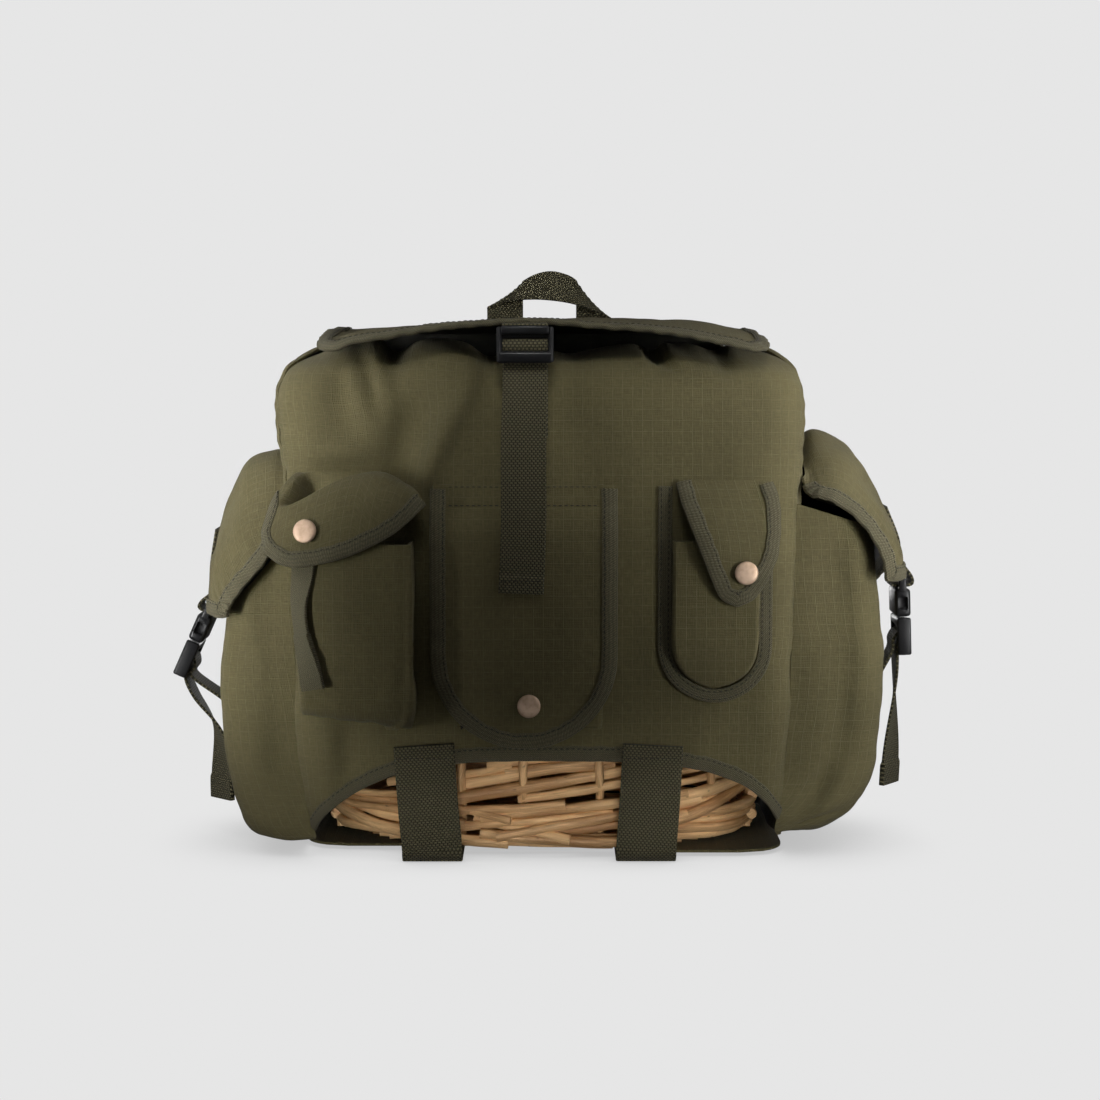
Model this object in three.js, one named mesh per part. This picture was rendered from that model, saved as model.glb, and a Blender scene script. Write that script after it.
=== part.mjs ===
// Foraging backpack: a ripstop canvas rucksack that carries an open willow basket in its base.
// The basket shows through an arched window in the front, behind two webbing straps.
// Millimetres, +Z up, the front faces -Y, and the origin is on the floor under the middle of the bag.
import * as THREE from "three";

const { clamp, lerp, smoothstep, degToRad } = THREE.MathUtils;
const vec = (x, y, z) => new THREE.Vector3(x, y, z);

// Thicknesses of the cloth, and the clearance between sewn pieces
const CANVAS = 1.6;
const WEBBING = 1.8;
const TAPE = 0.9;
const SEAM = 0.5;
const TAPE_GAP = 0.5;
const LOOSE_TAPE_GAP = 0.8;
const TAPE_LEG = 8;
const LONGEST_LEG_SHARE = 0.95;
const LEAST_MITRE = 0.75;
const POUCH_ROUNDING = 0.9;

// Sections of the bag from the floor up: half width, front and back faces, corner radius
const BODY = [
  { z: 4, half: 152, front: -88, back: 92, corner: 30 },
  { z: 40, half: 158, front: -93, back: 96, corner: 28 },
  { z: 130, half: 161, front: -95, back: 96, corner: 26 },
  { z: 230, half: 163, front: -95, back: 96, corner: 26 },
  { z: 285, half: 165, front: -93, back: 96, corner: 28 },
  { z: 305, half: 163, front: -88, back: 96, corner: 30 },
  { z: 316, half: 157, front: -78, back: 96, corner: 32 },
  { z: 322, half: 147, front: -64, back: 96, corner: 34 },
  { z: 325, half: 135, front: -50, back: 96, corner: 36 },
];
const BODY_TOP = 325;
const BACK_TOP = 331;
const HEM = 4.4;
const SEAM_TURN = Math.PI / 4;
const SEAM_SHARE = 0.992;
const CORNER_CROWDING = 0.4;
const TOP_CROWDING = 1.45;

// Folds of the front panel: middle, length, width, height outwards, lean from upright in degrees
const FRONT_FOLDS = [
  { x: -60, z: 276, length: 44, width: 12, height: 5, lean: 26 },
  { x: -86, z: 262, length: 36, width: 12, height: -4, lean: 10 },
  { x: -122, z: 298, length: 18, width: 10, height: -4, lean: 5 },
  { x: 16, z: 284, length: 40, width: 16, height: -3, lean: -6 },
  { x: 104, z: 280, length: 50, width: 42, height: 3, lean: 0 },
  { x: 62, z: 140, length: 70, width: 14, height: -2, lean: 0 },
];

// How far the gathered rim of the front panel rises and falls
const RIM = [
  { x: -140, rise: -3 },
  { x: -120, rise: 2 },
  { x: -92, rise: 0 },
  { x: -62, rise: 3 },
  { x: -40, rise: 2 },
  { x: -22, rise: -4 },
  { x: 8, rise: -4 },
  { x: 36, rise: -2 },
  { x: 62, rise: 2 },
  { x: 98, rise: -1 },
  { x: 140, rise: -3 },
];
const RIM_START = 298;

// Arched window in the front panel
const WINDOW = { half: 156, middle: 8, foot: 12, crown: 66, power: 3.6 };

// Willow basket: an oval that widens upwards
const BASKET = { foot: 139, rim: 148, depth: 0.565, square: 2.5, wall: 8, height: 100, weave: 1.5 };
const BASKET_COLUMNS = 40;
const BASKET_COURSES = 9;
const BASKET_FLOOR = 6;
const BASE_PANEL = { half: 150, front: -77, back: 91, frontRadius: 62, backRadius: 30, z: 2.3 };

// Webbing straps across the window: middle at the top and at the bottom, width, height of the sewn end
const BASKET_STRAPS = [
  { name: "basket_strap_left", top: -75, bottom: -70 },
  { name: "basket_strap_right", top: 69, bottom: 65 },
];
const BASKET_STRAP = { width: 38, end: 75, turn: 8, turnSteps: 4, back: 84 };

// Lid: its crown and how far its sides droop, from the hinge at the back to the front edge
const LID = { half: 140, back: 95, front: -100, corner: 18, cornerShare: 0.9 };
const LID_PROFILE = [
  { v: 0, crown: 333.1, droop: 0 },
  { v: 0.12, crown: 340, droop: 6 },
  { v: 0.5, crown: 342.5, droop: 9 },
  { v: 0.85, crown: 341.5, droop: 13 },
  { v: 1, crown: 340, droop: 17 },
];
const LID_DROOP_POWER = 2.3;

// Lid closing: a ladder lock on a tab, and the strap that runs through it
const LOCK = { x: -11, y: -106, z: 322.6, width: 34.5, thick: 4 };
const LOCK_BARS = [
  { low: -10.3, high: -4.7 },
  { low: -1.5, high: 1.5 },
  { low: 4.7, high: 6.5 },
  { low: 9.8, high: 11.6 },
];
const LOCK_TAB_BAR = 3;
const LOCK_FRAME = { side: 3, corner: 2, slotCorner: 1 };
const LID_STRAP_WIDTH = 28;
const LID_STRAP_RISE = [
  { z: 268, lift: 0 },
  { z: 288, lift: 0 },
  { z: 300, lift: 3 },
];
const LID_STRAP_TAIL = [
  { z: 296, back: 2 },
  { z: 262, back: 0 },
  { z: 175, back: 0 },
];

// The tab that holds the lock: under the lid, then round the lock's top bar
const TAB_UNDER_LID = [
  { y: -76, z: 338.3 },
  { y: -90, z: 335.5 },
];
const TAB_ROUND_BAR = [
  { out: -4, up: 2.4 },
  { out: 2.2, up: 2.4 },
  { out: 3.3, up: 0.3 },
  { out: 2.6, up: -1.9 },
  { out: 0, up: -2.5 },
  { out: -4, up: -2.1 },
  { out: -9, up: -0.5 },
];
const TAB_THICK = 1.4;

// A strap threaded over the middle bar of a lock, out of the bag and up
const THREAD = [
  { out: -7.1, up: -9 },
  { out: -6.4, up: -2 },
  { out: -3.4, up: 2.8 },
  { out: 0, up: 3.1 },
  { out: 2.9, up: 2.7 },
  { out: 3.7, up: 0 },
  { out: 2.9, up: -2.7 },
  { out: 0, up: -3.1 },
  { out: -2.8, up: -3.6 },
  { out: -3.7, up: -7 },
  { out: -3.8, up: -12 },
];

// Grab handle: its middle line, from foot to foot
const HANDLE = { width: 25, lean: 0.7 };
const HANDLE_LINE = [
  { x: -27, y: 97.4, z: 306 },
  { x: -27, y: 97.4, z: 332 },
  { x: -25, y: 98.6, z: 347 },
  { x: -17, y: 97, z: 357 },
  { x: -6, y: 95.4, z: 362 },
  { x: 5, y: 95, z: 363.5 },
  { x: 16, y: 95.4, z: 361 },
  { x: 26, y: 97, z: 355 },
  { x: 33, y: 98.6, z: 345 },
  { x: 35, y: 97.4, z: 332 },
  { x: 35, y: 97.4, z: 306 },
];

// Bellows pocket on the left of the front: half width and depth from the bottom up
const BELLOWS = { x: -116, slope: 0.18, corner: 9, lift: 1.2 };
const BELLOWS_ROWS = [
  { z: 97, half: 32, depth: 3 },
  { z: 99, half: 34, depth: 18 },
  { z: 107, half: 35, depth: 28 },
  { z: 122, half: 35.5, depth: 32 },
  { z: 155, half: 35.5, depth: 32.5 },
  { z: 180, half: 35.5, depth: 32.5 },
  { z: 204, half: 34.5, depth: 31 },
];
const BELLOWS_HINGE = { left: -154, right: -84, out: 0.8 };
const BELLOWS_SHOULDER = { in: 2, up: 3 };
const BELLOWS_LIP = [
  { share: 0, x: -170, y: -115, z: 208, hinge: 246 },
  { share: 0.15, x: -165, y: -126, z: 201, hinge: 247 },
  { share: 0.3, x: -154, y: -133, z: 195, hinge: 247 },
  { share: 0.45, x: -137, y: -136, z: 194.5, hinge: 247 },
  { share: 0.6, x: -117, y: -136, z: 200, hinge: 247 },
  { share: 0.8, x: -91, y: -132, z: 213, hinge: 246 },
  { share: 1, x: -73, y: -118, z: 229, hinge: 239 },
];
const BELLOWS_SNAP = { column: 4, row: 5 };
const PULL_TAB = { width: 15, leanX: -143, leanZ: 150, leanReach: 4 };
const PULL_TAB_LINE = [
  { x: -145, z: 197 },
  { x: -145, z: 186 },
  { x: -147, z: 170 },
  { x: -145, z: 150 },
  { x: -140, z: 132 },
  { x: -137, z: 115 },
];

// Flat pocket in the middle of the front, under a long flap with a round end
const CENTRE_ROWS = [
  { z: 86, half: 44, depth: 3 },
  { z: 92, half: 46, depth: 5 },
  { z: 150, half: 46, depth: 6 },
  { z: 214, half: 46, depth: 5 },
];
const CENTRE = { x: -9, corner: 2.6 };
const CENTRE_FLAP = { x: -12, half: 56.5, top: 239, straight: 133, bottom: 80, lift: 8.6 };
const CENTRE_FLAP_END = { straightShare: 0.5, turn: 78, liftShare: 0.16 };
const CENTRE_SNAP = { column: 3, row: 6 };

// Knife sheath on the right of the front
const SHEATH = { x: 109.5, corner: 2.6, tapeWidth: 8, tapeThick: 2.2 };
const SHEATH_ROWS = [
  { z: 112, half: 5, depth: 3 },
  { z: 115, half: 12.5, depth: 4 },
  { z: 123, half: 22, depth: 6 },
  { z: 138, half: 27, depth: 8 },
  { z: 170, half: 27, depth: 9 },
  { z: 204, half: 27, depth: 10 },
];
const SHEATH_TAPE = { half: 32.3, bend: 138, leftTop: 238, rightTop: 222, bendSteps: 8 };
const SHEATH_FLAP_ROWS = [
  { z: 242, left: 88, right: 141, out: 2.1, gape: 0 },
  { z: 230, left: 92, right: 145, out: 9, gape: 2 },
  { z: 214, left: 99, right: 146, out: 14, gape: 5 },
  { z: 196, left: 106, right: 145, out: 15, gape: 5 },
  { z: 180, left: 112, right: 139, out: 14, gape: 2 },
  { z: 168, left: 118, right: 129, out: 13, gape: 0 },
];
const SHEATH_SNAP = { column: 2, row: 5 };

// Press snap: a post that stands on the cloth, and a domed cap
const SNAP_PROFILE = [
  { radius: 0, height: 0 },
  { radius: 3, height: 0 },
  { radius: 3, height: 1 },
  { radius: 7.3, height: 1.2 },
  { radius: 7.3, height: 2.2 },
  { radius: 5.2, height: 3.4 },
  { radius: 0, height: 3.9 },
];
const SNAP_GAP = 0.3;
const SNAP_SIDES = 12;

// Side pockets and their flaps, on the left and the right
const SIDE_POCKET = { y: -14, corner: 16 };
const SIDES = [
  {
    name: "left", side: -1, mouthDrop: 44, flapTuck: 10, backDroop: 1, buckleTilt: 24,
    buckle: { out: 228, z: 132 },
    pocket: [
      { z: 13, half: 60, depth: 3.4 },
      { z: 14.5, half: 65, depth: 24 },
      { z: 18, half: 68, depth: 32.5 },
      { z: 30, half: 69.5, depth: 38 },
      { z: 60, half: 70, depth: 43 },
      { z: 100, half: 70, depth: 45 },
      { z: 155, half: 70, depth: 43 },
      { z: 205, half: 69, depth: 38 },
    ],
    flap: [
      { out: 0, z: 257, droop: 44 },
      { out: 8, z: 258, droop: 56 },
      { out: 25, z: 246, droop: 64 },
      { out: 38, z: 218, droop: 52 },
      { out: 46, z: 188, droop: 28 },
      { out: 47.5, z: 160, droop: 3 },
    ],
    tail: [
      { down: 12, in: 5 },
      { down: 38, in: 20 },
      { down: 82, in: 22 },
    ],
  },
  {
    name: "right", side: 1, mouthDrop: 14, flapTuck: 3, backDroop: 1.15, buckleTilt: 2,
    buckle: { out: 235, z: 148 },
    pocket: [
      { z: 13, half: 60, depth: 3 },
      { z: 15, half: 65, depth: 20 },
      { z: 22, half: 68, depth: 33 },
      { z: 34, half: 69.5, depth: 43 },
      { z: 58, half: 70, depth: 53 },
      { z: 100, half: 70, depth: 56 },
      { z: 155, half: 70, depth: 54.5 },
      { z: 226, half: 69, depth: 46 },
    ],
    flap: [
      { out: 0, z: 254, droop: 12 },
      { out: 6, z: 268, droop: 35 },
      { out: 27, z: 262, droop: 32 },
      { out: 46, z: 234, droop: 20 },
      { out: 57, z: 206, droop: 12 },
      { out: 62, z: 180, droop: 2 },
    ],
    tail: [
      { down: 20, in: 0 },
      { down: 75, in: 2 },
    ],
  },
];
const SIDE_FLAP = { hingeFront: -79, front: -91, hingeBack: 52, back: 63, flareShare: 0.4, droopPower: 2 };
const BUCKLE = { width: 33, webbing: 25, socketThick: 10, plugThick: 4, plugMiddle: -13.5 };
const SOCKET_BARS = [
  { low: 0.3, high: 18.5 },
  { low: 22.3, high: 25.5 },
];
const PLUG_BARS = [
  { low: -11.5, high: -4.7 },
  { low: -1.5, high: 1.5 },
  { low: 4.7, high: 13 },
];
const ROUND_SOCKET_BAR = [
  { out: 6.5, up: 26 },
  { out: 6.5, up: 21.2 },
  { out: 0, up: 20.4 },
  { out: -6.5, up: 21 },
];
const FLAP_STRAP_SHARES = { sewn: 0.7, tape: 0.85, lip: 0.97 };
const BUCKLE_STRAP_SHARES = { foot: 0.68, leave: 0.745 };

// Shoulder straps on the back: a padded strap, and the webbing that tightens it
const SHOULDER = { width: 52, thick: 10, round: 3 };
const SHOULDER_LINE = [
  { x: 76, y: 96.6, z: 301 },
  { x: 76, y: 108, z: 302 },
  { x: 77, y: 120, z: 296 },
  { x: 78, y: 129, z: 281 },
  { x: 80, y: 132.2, z: 252 },
  { x: 82, y: 132.4, z: 215 },
  { x: 85, y: 131, z: 178 },
  { x: 88, y: 127, z: 144 },
  { x: 91, y: 121, z: 116 },
];
const SLIDER = { x: 92.5, y: 116.6, z: 98, lean: 14, width: 31, thick: 4 };
const SLIDER_BARS = [
  { low: -9, high: -4.7 },
  { low: -1.5, high: 1.5 },
  { low: 4.7, high: 9 },
];
const SHOULDER_WEBBING_WIDTH = 24;
const SHOULDER_ANCHOR = [
  { x: 99, z: 62, lift: 8.2 },
  { x: 105, z: 42, lift: 0.4 },
  { x: 110, z: 22, lift: 0 },
];

const COLOURS = {
  canvas: { color: 0x5d5842, roughness: 0.85, metalness: 0 },
  webbing: { color: 0x443f2e, roughness: 0.9, metalness: 0 },
  tape: { color: 0x4f4b3b, roughness: 0.88, metalness: 0 },
  willow: { color: 0x94714f, roughness: 0.6, metalness: 0 },
  plastic: { color: 0x131315, roughness: 0.35, metalness: 0 },
  snap: { color: 0xb08f78, roughness: 0.35, metalness: 0.9 },
};

const bag = new THREE.Group();
bag.name = "foraging_backpack";

function addPiece(name, geometry, finish) {
  const mesh = new THREE.Mesh(geometry, new THREE.MeshStandardMaterial(COLOURS[finish]));
  mesh.name = name;
  bag.add(mesh);
}

// Reads a column of a table between its rows, on a smooth curve through them
function readColumn(table, key, column, at) {
  const last = table.length - 1;
  let i = 0;
  while (i < last - 1 && at > table[i + 1][key]) i++;
  const row = (k) => table[clamp(k, 0, last)];
  const slope = (k) => (row(k + 1)[column] - row(k - 1)[column]) / (row(k + 1)[key] - row(k - 1)[key]);
  const span = row(i + 1)[key] - row(i)[key];
  const t = clamp((at - row(i)[key]) / span, 0, 1);
  const [t2, t3] = [t * t, t * t * t];
  const ends = (2 * t3 - 3 * t2 + 1) * row(i)[column] + (3 * t2 - 2 * t3) * row(i + 1)[column];
  return ends + span * ((t3 - 2 * t2 + t) * slope(i) + (t3 - t2) * slope(i + 1));
}

// Reads a column by the row's number, from 0 at the first row to 1 at the last
function readRow(table, column, share) {
  const numbered = table.map((row, step) => ({ ...row, step }));
  return readColumn(numbered, "step", column, share * (table.length - 1));
}

// A closed solid from points and triangles, turned so that its faces look outwards
function closedSolid(points, triangles) {
  const volume = triangles.reduce((sum, [a, b, c]) => {
    return sum + points[a].dot(points[b].clone().cross(points[c]));
  }, 0);
  const facing = volume < 0 ? triangles.map(([a, b, c]) => [a, c, b]) : triangles;
  const geometry = new THREE.BufferGeometry();
  geometry.setAttribute("position", new THREE.Float32BufferAttribute(points.flatMap((p) => p.toArray()), 3));
  geometry.setIndex(facing.flat());
  geometry.computeVertexNormals();
  return geometry;
}

// Joins rings of points into a tube with flat ends, each ring the same closed outline
// A face is cut along its other diagonal where the caller says so
function joinRings(rings, otherDiagonal = () => false) {
  const count = rings[0].length;
  const triangles = [];
  for (let k = 0; k < rings.length - 1; k++) {
    for (let i = 0; i < count; i++) {
      const j = (i + 1) % count;
      const [a, b, c, d] = [k * count + i, k * count + j, (k + 1) * count + j, (k + 1) * count + i];
      if (otherDiagonal(k, i)) triangles.push([a, b, d], [b, c, d]);
      else triangles.push([a, b, c], [a, c, d]);
    }
  }
  const cap = capTriangles(rings[0]);
  const end = (rings.length - 1) * count;
  cap.forEach(([a, b, c]) => triangles.push([a, c, b], [end + a, end + b, end + c]));
  return closedSolid(rings.flat(), triangles);
}

// Fills a flat closed outline with triangles that run the way its points run
function capTriangles(ring) {
  const normal = vec(0, 0, 0);
  ring.forEach((p, i) => normal.add(p.clone().cross(ring[(i + 1) % ring.length])));
  normal.normalize();
  const across = ring[1].clone().sub(ring[0]).normalize();
  const up = normal.clone().cross(across);
  const flat = ring.map((p) => new THREE.Vector2(p.dot(across), p.dot(up)));
  return THREE.ShapeUtils.triangulateShape(flat, []).map(([a, b, c]) => {
    const turn = flat[b].clone().sub(flat[a]).cross(flat[c].clone().sub(flat[a]));
    return turn > 0 ? [a, b, c] : [a, c, b];
  });
}

// A cloth wall from a surface: an outer grid of points, and an inner one a thickness behind it
// The side is 1 where u cross v looks out of the bag, and -1 where it looks in
function clothWall({ point, columns, rows, side = 1, thick = CANVAS }) {
  const step = 1e-3;
  const outer = [];
  const inner = [];
  for (let j = 0; j <= rows; j++) {
    for (let i = 0; i <= columns; i++) {
      const [u, v] = [i / columns, j / rows];
      const along = point(Math.min(1, u + step), v).sub(point(Math.max(0, u - step), v));
      const up = point(u, Math.min(1, v + step)).sub(point(u, Math.max(0, v - step)));
      const normal = along.cross(up).normalize().multiplyScalar(side);
      outer.push(point(u, v));
      inner.push(point(u, v).addScaledVector(normal, -thick));
    }
  }
  const wide = columns + 1;
  const half = outer.length;
  const triangles = [];
  const quad = (a, b, c, d) => triangles.push([a, b, c], [a, c, d]);
  for (let j = 0; j < rows; j++) {
    for (let i = 0; i < columns; i++) {
      const a = j * wide + i;
      const face = [a, a + 1, a + wide + 1, a + wide];
      const [p, q, r, t] = i === 0 && j === rows - 1 ? [...face.slice(1), face[0]] : face;
      quad(p, q, r, t);
      quad(half + p, half + t, half + r, half + q);
    }
  }
  const rim = [];
  for (let i = 0; i < columns; i++) rim.push(i);
  for (let j = 0; j < rows; j++) rim.push(j * wide + columns);
  for (let i = columns; i > 0; i--) rim.push(rows * wide + i);
  for (let j = rows; j > 0; j--) rim.push(j * wide);
  rim.forEach((a, k) => {
    const b = rim[(k + 1) % rim.length];
    quad(b, a, half + a, half + b);
  });
  const at = (grid, i, j) => grid[j * wide + i];
  return {
    geometry: closedSolid([...outer, ...inner], triangles),
    outerAt: (i, j) => at(outer, i, j).clone(),
    innerAt: (i, j) => at(inner, i, j).clone(),
    columns,
    rows,
  };
}

// Stations along the free edge of a flap: down its first side, along its end, and up its other side
function freeEdge({ columns, rows }) {
  const stations = [];
  for (let j = 0; j < rows; j++) stations.push({ i: 0, j, di: 1, dj: 0 });
  stations.push({ i: 0, j: rows, di: 1, dj: -1 });
  for (let i = 1; i < columns; i++) stations.push({ i, j: rows, di: 0, dj: -1 });
  stations.push({ i: columns, j: rows, di: -1, dj: -1 });
  for (let j = rows - 1; j >= 0; j--) stations.push({ i: columns, j, di: -1, dj: 0 });
  return stations;
}

// Binding tape folded round the edge of a cloth wall, with a leg on each face
function bindEdge(cloth, stations, gap = TAPE_GAP) {
  const rings = stations.map(({ i, j, di, dj }) => {
    const [edge, back] = [cloth.outerAt(i, j), cloth.innerAt(i, j)];
    const [next, nextBack] = [cloth.outerAt(i + di, j + dj), cloth.innerAt(i + di, j + dj)];
    const share = Math.min(LONGEST_LEG_SHARE, TAPE_LEG / edge.distanceTo(next));
    const [leg, legBack] = [edge.clone().lerp(next, share), back.clone().lerp(nextBack, share)];
    const normal = edge.clone().sub(back).normalize();
    const legNormal = leg.clone().sub(legBack).normalize();
    const off = edge.clone().sub(next).normalize();
    const shift = (p, n, far, past) => p.clone().addScaledVector(n, far).addScaledVector(off, past);
    const far = gap + TAPE;
    return [
      shift(leg, legNormal, far, 0),
      shift(edge, normal, far, far),
      shift(back, normal, -far, far),
      shift(legBack, legNormal, -far, 0),
      shift(legBack, legNormal, -gap, 0),
      shift(back, normal, -gap, gap),
      shift(edge, normal, gap, gap),
      shift(leg, legNormal, gap, 0),
    ];
  });
  const [backFace, outerFace] = [4, 6];
  const atEnd = (k) => stations[k].di === 0 && stations[k].dj < 0;
  return joinRings(rings, (k, i) => (i === outerFace && atEnd(k)) || (i === backFace && !atEnd(k)));
}

// A flat strap along a line of points, with a direction across it at each point
function strapAlong(line, across, width, thick) {
  const rings = line.map((p, k) => {
    const before = p.clone().sub(line[Math.max(0, k - 1)]).normalize();
    const after = line[Math.min(line.length - 1, k + 1)].clone().sub(p).normalize();
    const tangent = before.clone().add(after).normalize();
    const mitre = Math.max(LEAST_MITRE, before.dot(tangent), after.dot(tangent));
    const wide = (typeof across === "function" ? across(k) : across.clone()).multiplyScalar(width / 2);
    const normal = wide.clone().cross(tangent).normalize().multiplyScalar(thick / 2 / mitre);
    return [
      p.clone().add(wide).add(normal),
      p.clone().sub(wide).add(normal),
      p.clone().sub(wide).sub(normal),
      p.clone().add(wide).sub(normal),
    ];
  });
  return joinRings(rings);
}

// Height of the canvas folds at a place on a panel
function foldHeight(folds, x, z) {
  return folds.reduce((sum, fold) => {
    const lean = degToRad(fold.lean);
    const [dx, dz] = [x - fold.x, z - fold.z];
    const along = (dx * Math.sin(lean) + dz * Math.cos(lean)) / fold.length;
    const across = (dx * Math.cos(lean) - dz * Math.sin(lean)) / fold.width;
    return sum + fold.height * Math.exp(-along * along - across * across);
  }, 0);
}

// How far a rounded corner has turned back at a distance along its face
function cornerInset(half, corner, along) {
  const turn = Math.asin(clamp((Math.abs(along) - half + corner) / corner, 0, 1));
  return corner * (1 - Math.cos(turn));
}

const section = (column, z) => readColumn(BODY, "z", column, z);

// A point a distance out from the front panel
function onFront(x, z, out) {
  const inset = cornerInset(section("half", z), section("corner", z), x);
  return vec(x, section("front", z) + inset - foldHeight(FRONT_FOLDS, x, z) - out, z);
}

// A point a distance out from a side panel
function onSide(side, y, z, out) {
  const [front, back] = [section("front", z), section("back", z)];
  const inset = cornerInset((back - front) / 2, section("corner", z), y - (front + back) / 2);
  return vec(side * (section("half", z) - inset + out), y, z);
}

// How far along a panel a share of the way from its middle to its corner seam is
function alongPanel(half, corner, s) {
  const flat = half - corner;
  const distance = Math.abs(s) * SEAM_SHARE * (flat + corner * SEAM_TURN);
  const turn = Math.max(0, distance - flat) / corner;
  return Math.sign(s) * (Math.min(distance, flat) + corner * Math.sin(turn));
}

function frontHem(x) {
  const t = Math.min(1, Math.abs(x - WINDOW.middle) / WINDOW.half);
  return WINDOW.crown - (WINDOW.crown - WINDOW.foot) * t ** WINDOW.power;
}

// Rows of a panel crowd towards its rounded top
const panelHeight = (hem, top, v) => lerp(hem, top, 1 - (1 - v) ** TOP_CROWDING);

// Columns of the front panel crowd towards its corner seams
function frontShare(u) {
  const s = 2 * u - 1;
  return lerp(s, Math.sin((s * Math.PI) / 2), CORNER_CROWDING);
}

function frontPanelPoint(u, v) {
  const s = frontShare(u);
  const hemX = alongPanel(section("half", WINDOW.crown), section("corner", WINDOW.crown), s);
  const z = panelHeight(frontHem(hemX), BODY_TOP, v);
  const p = onFront(alongPanel(section("half", z), section("corner", z), s), z, 0);
  p.z += readColumn(RIM, "x", "rise", p.x) * smoothstep(z, RIM_START, BODY_TOP);
  return p;
}

function sidePanelPoint(side, u, v) {
  const s = (2 * u - 1) * side;
  const hem = lerp(WINDOW.foot, HEM, smoothstep(s, -1, 0));
  const z = panelHeight(hem, BODY_TOP, v);
  const [front, back] = [section("front", z), section("back", z)];
  const y = (front + back) / 2 + alongPanel((back - front) / 2, section("corner", z), s);
  return onSide(side, y, z, 0);
}

function backPanelPoint(u, v) {
  const z = panelHeight(HEM, BACK_TOP, v);
  const [half, corner] = [section("half", z), section("corner", z)];
  const x = -alongPanel(half, corner, 2 * u - 1);
  return vec(x, section("back", z) - cornerInset(half, corner, x), z);
}

function addBody() {
  const front = clothWall({ point: frontPanelPoint, columns: 20, rows: 12 });
  addPiece("front_panel", front.geometry, "canvas");
  const hem = [];
  for (let i = 0; i <= front.columns; i++) hem.push({ i, j: 0, di: 0, dj: 1 });
  addPiece("window_binding", bindEdge(front, hem), "tape");
  for (const { name, side } of SIDES) {
    const wall = clothWall({ point: (u, v) => sidePanelPoint(side, u, v), columns: 8, rows: 8 });
    addPiece(`side_panel_${name}`, wall.geometry, "canvas");
  }
  const back = clothWall({ point: backPanelPoint, columns: 10, rows: 7 });
  addPiece("back_panel", back.geometry, "canvas");
  addPiece("base_panel", basePanel(), "canvas");
}

function basePanel() {
  const { half, front, back, frontRadius, backRadius, z } = BASE_PANEL;
  const outline = new THREE.Shape();
  outline.moveTo(-half + frontRadius, front);
  outline.absarc(half - frontRadius, front + frontRadius, frontRadius, -Math.PI / 2, 0);
  outline.absarc(half - backRadius, back - backRadius, backRadius, 0, Math.PI / 2);
  outline.absarc(-half + backRadius, back - backRadius, backRadius, Math.PI / 2, Math.PI);
  outline.absarc(-half + frontRadius, front + frontRadius, frontRadius, Math.PI, Math.PI * 1.5);
  const extrude = { depth: CANVAS, bevelEnabled: false, curveSegments: 6 };
  return new THREE.ExtrudeGeometry(outline, extrude).translate(0, 0, z);
}

// A point on the basket's oval, at a height and a distance in from its outer face
function basketPoint(turn, height, inset) {
  const reach = lerp(BASKET.foot, BASKET.rim, height / BASKET.height) - inset;
  const round = (value) => Math.sign(value) * Math.abs(value) ** (2 / BASKET.square);
  const deep = reach * BASKET.depth - inset * (1 - BASKET.depth);
  return vec(reach * round(Math.cos(turn)), deep * round(Math.sin(turn)), HEM + height);
}

function addBasket() {
  const points = [];
  const heights = Array.from({ length: BASKET_COURSES + 1 }, (_, k) => (k * BASKET.height) / BASKET_COURSES);
  const rings = heights.map((height, k) => ({ height, weave: BASKET.weave, k, inset: 0 }));
  rings.push({ height: BASKET.height, weave: 0, k: 0, inset: BASKET.wall });
  rings.push({ height: BASKET.height / 2, weave: 0, k: 0, inset: BASKET.wall });
  rings.push({ height: 0, weave: 0, k: 0, inset: BASKET.wall });
  for (const { height, weave, k, inset } of rings) {
    for (let i = 0; i < BASKET_COLUMNS; i++) {
      const over = (i + k) % 2 ? weave : -weave;
      points.push(basketPoint((i / BASKET_COLUMNS) * 2 * Math.PI, height, inset + over));
    }
  }
  const triangles = [];
  rings.forEach((_, k) => {
    const above = (k + 1) % rings.length;
    for (let i = 0; i < BASKET_COLUMNS; i++) {
      const j = (i + 1) % BASKET_COLUMNS;
      const [a, b] = [k * BASKET_COLUMNS + i, k * BASKET_COLUMNS + j];
      const [c, d] = [above * BASKET_COLUMNS + j, above * BASKET_COLUMNS + i];
      triangles.push([a, b, c], [a, c, d]);
    }
  });
  addPiece("basket_wall", closedSolid(points, triangles), "willow");
  const floorInset = BASKET.wall + SEAM;
  const bottom = [];
  const top = [];
  for (let i = 0; i < BASKET_COLUMNS; i++) {
    const turn = (i / BASKET_COLUMNS) * 2 * Math.PI;
    bottom.push(basketPoint(turn, 0, floorInset));
    top.push(basketPoint(turn, 0, floorInset).setZ(HEM + BASKET_FLOOR));
  }
  addPiece("basket_base", joinRings([bottom, top]), "willow");
}

// Webbing that is sewn above the window, crosses it, and runs back under the base
function addBasketStraps() {
  const { width, end, turn, turnSteps, back } = BASKET_STRAP;
  for (const { name, top, bottom } of BASKET_STRAPS) {
    const face = onFront(top, end, TAPE_GAP + TAPE + SEAM + WEBBING / 2).y;
    const floor = WEBBING / 2;
    const line = [vec(top, face, end), vec(lerp(top, bottom, 0.5), face, end / 2)];
    for (let k = 0; k <= turnSteps; k++) {
      const angle = Math.PI + (k / turnSteps) * (Math.PI / 2);
      line.push(vec(bottom, face + turn + turn * Math.cos(angle), floor + turn + turn * Math.sin(angle)));
    }
    line.push(vec(bottom, back, floor));
    addPiece(name, strapAlong(line, vec(1, 0, 0), width, WEBBING), "webbing");
  }
}

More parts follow.
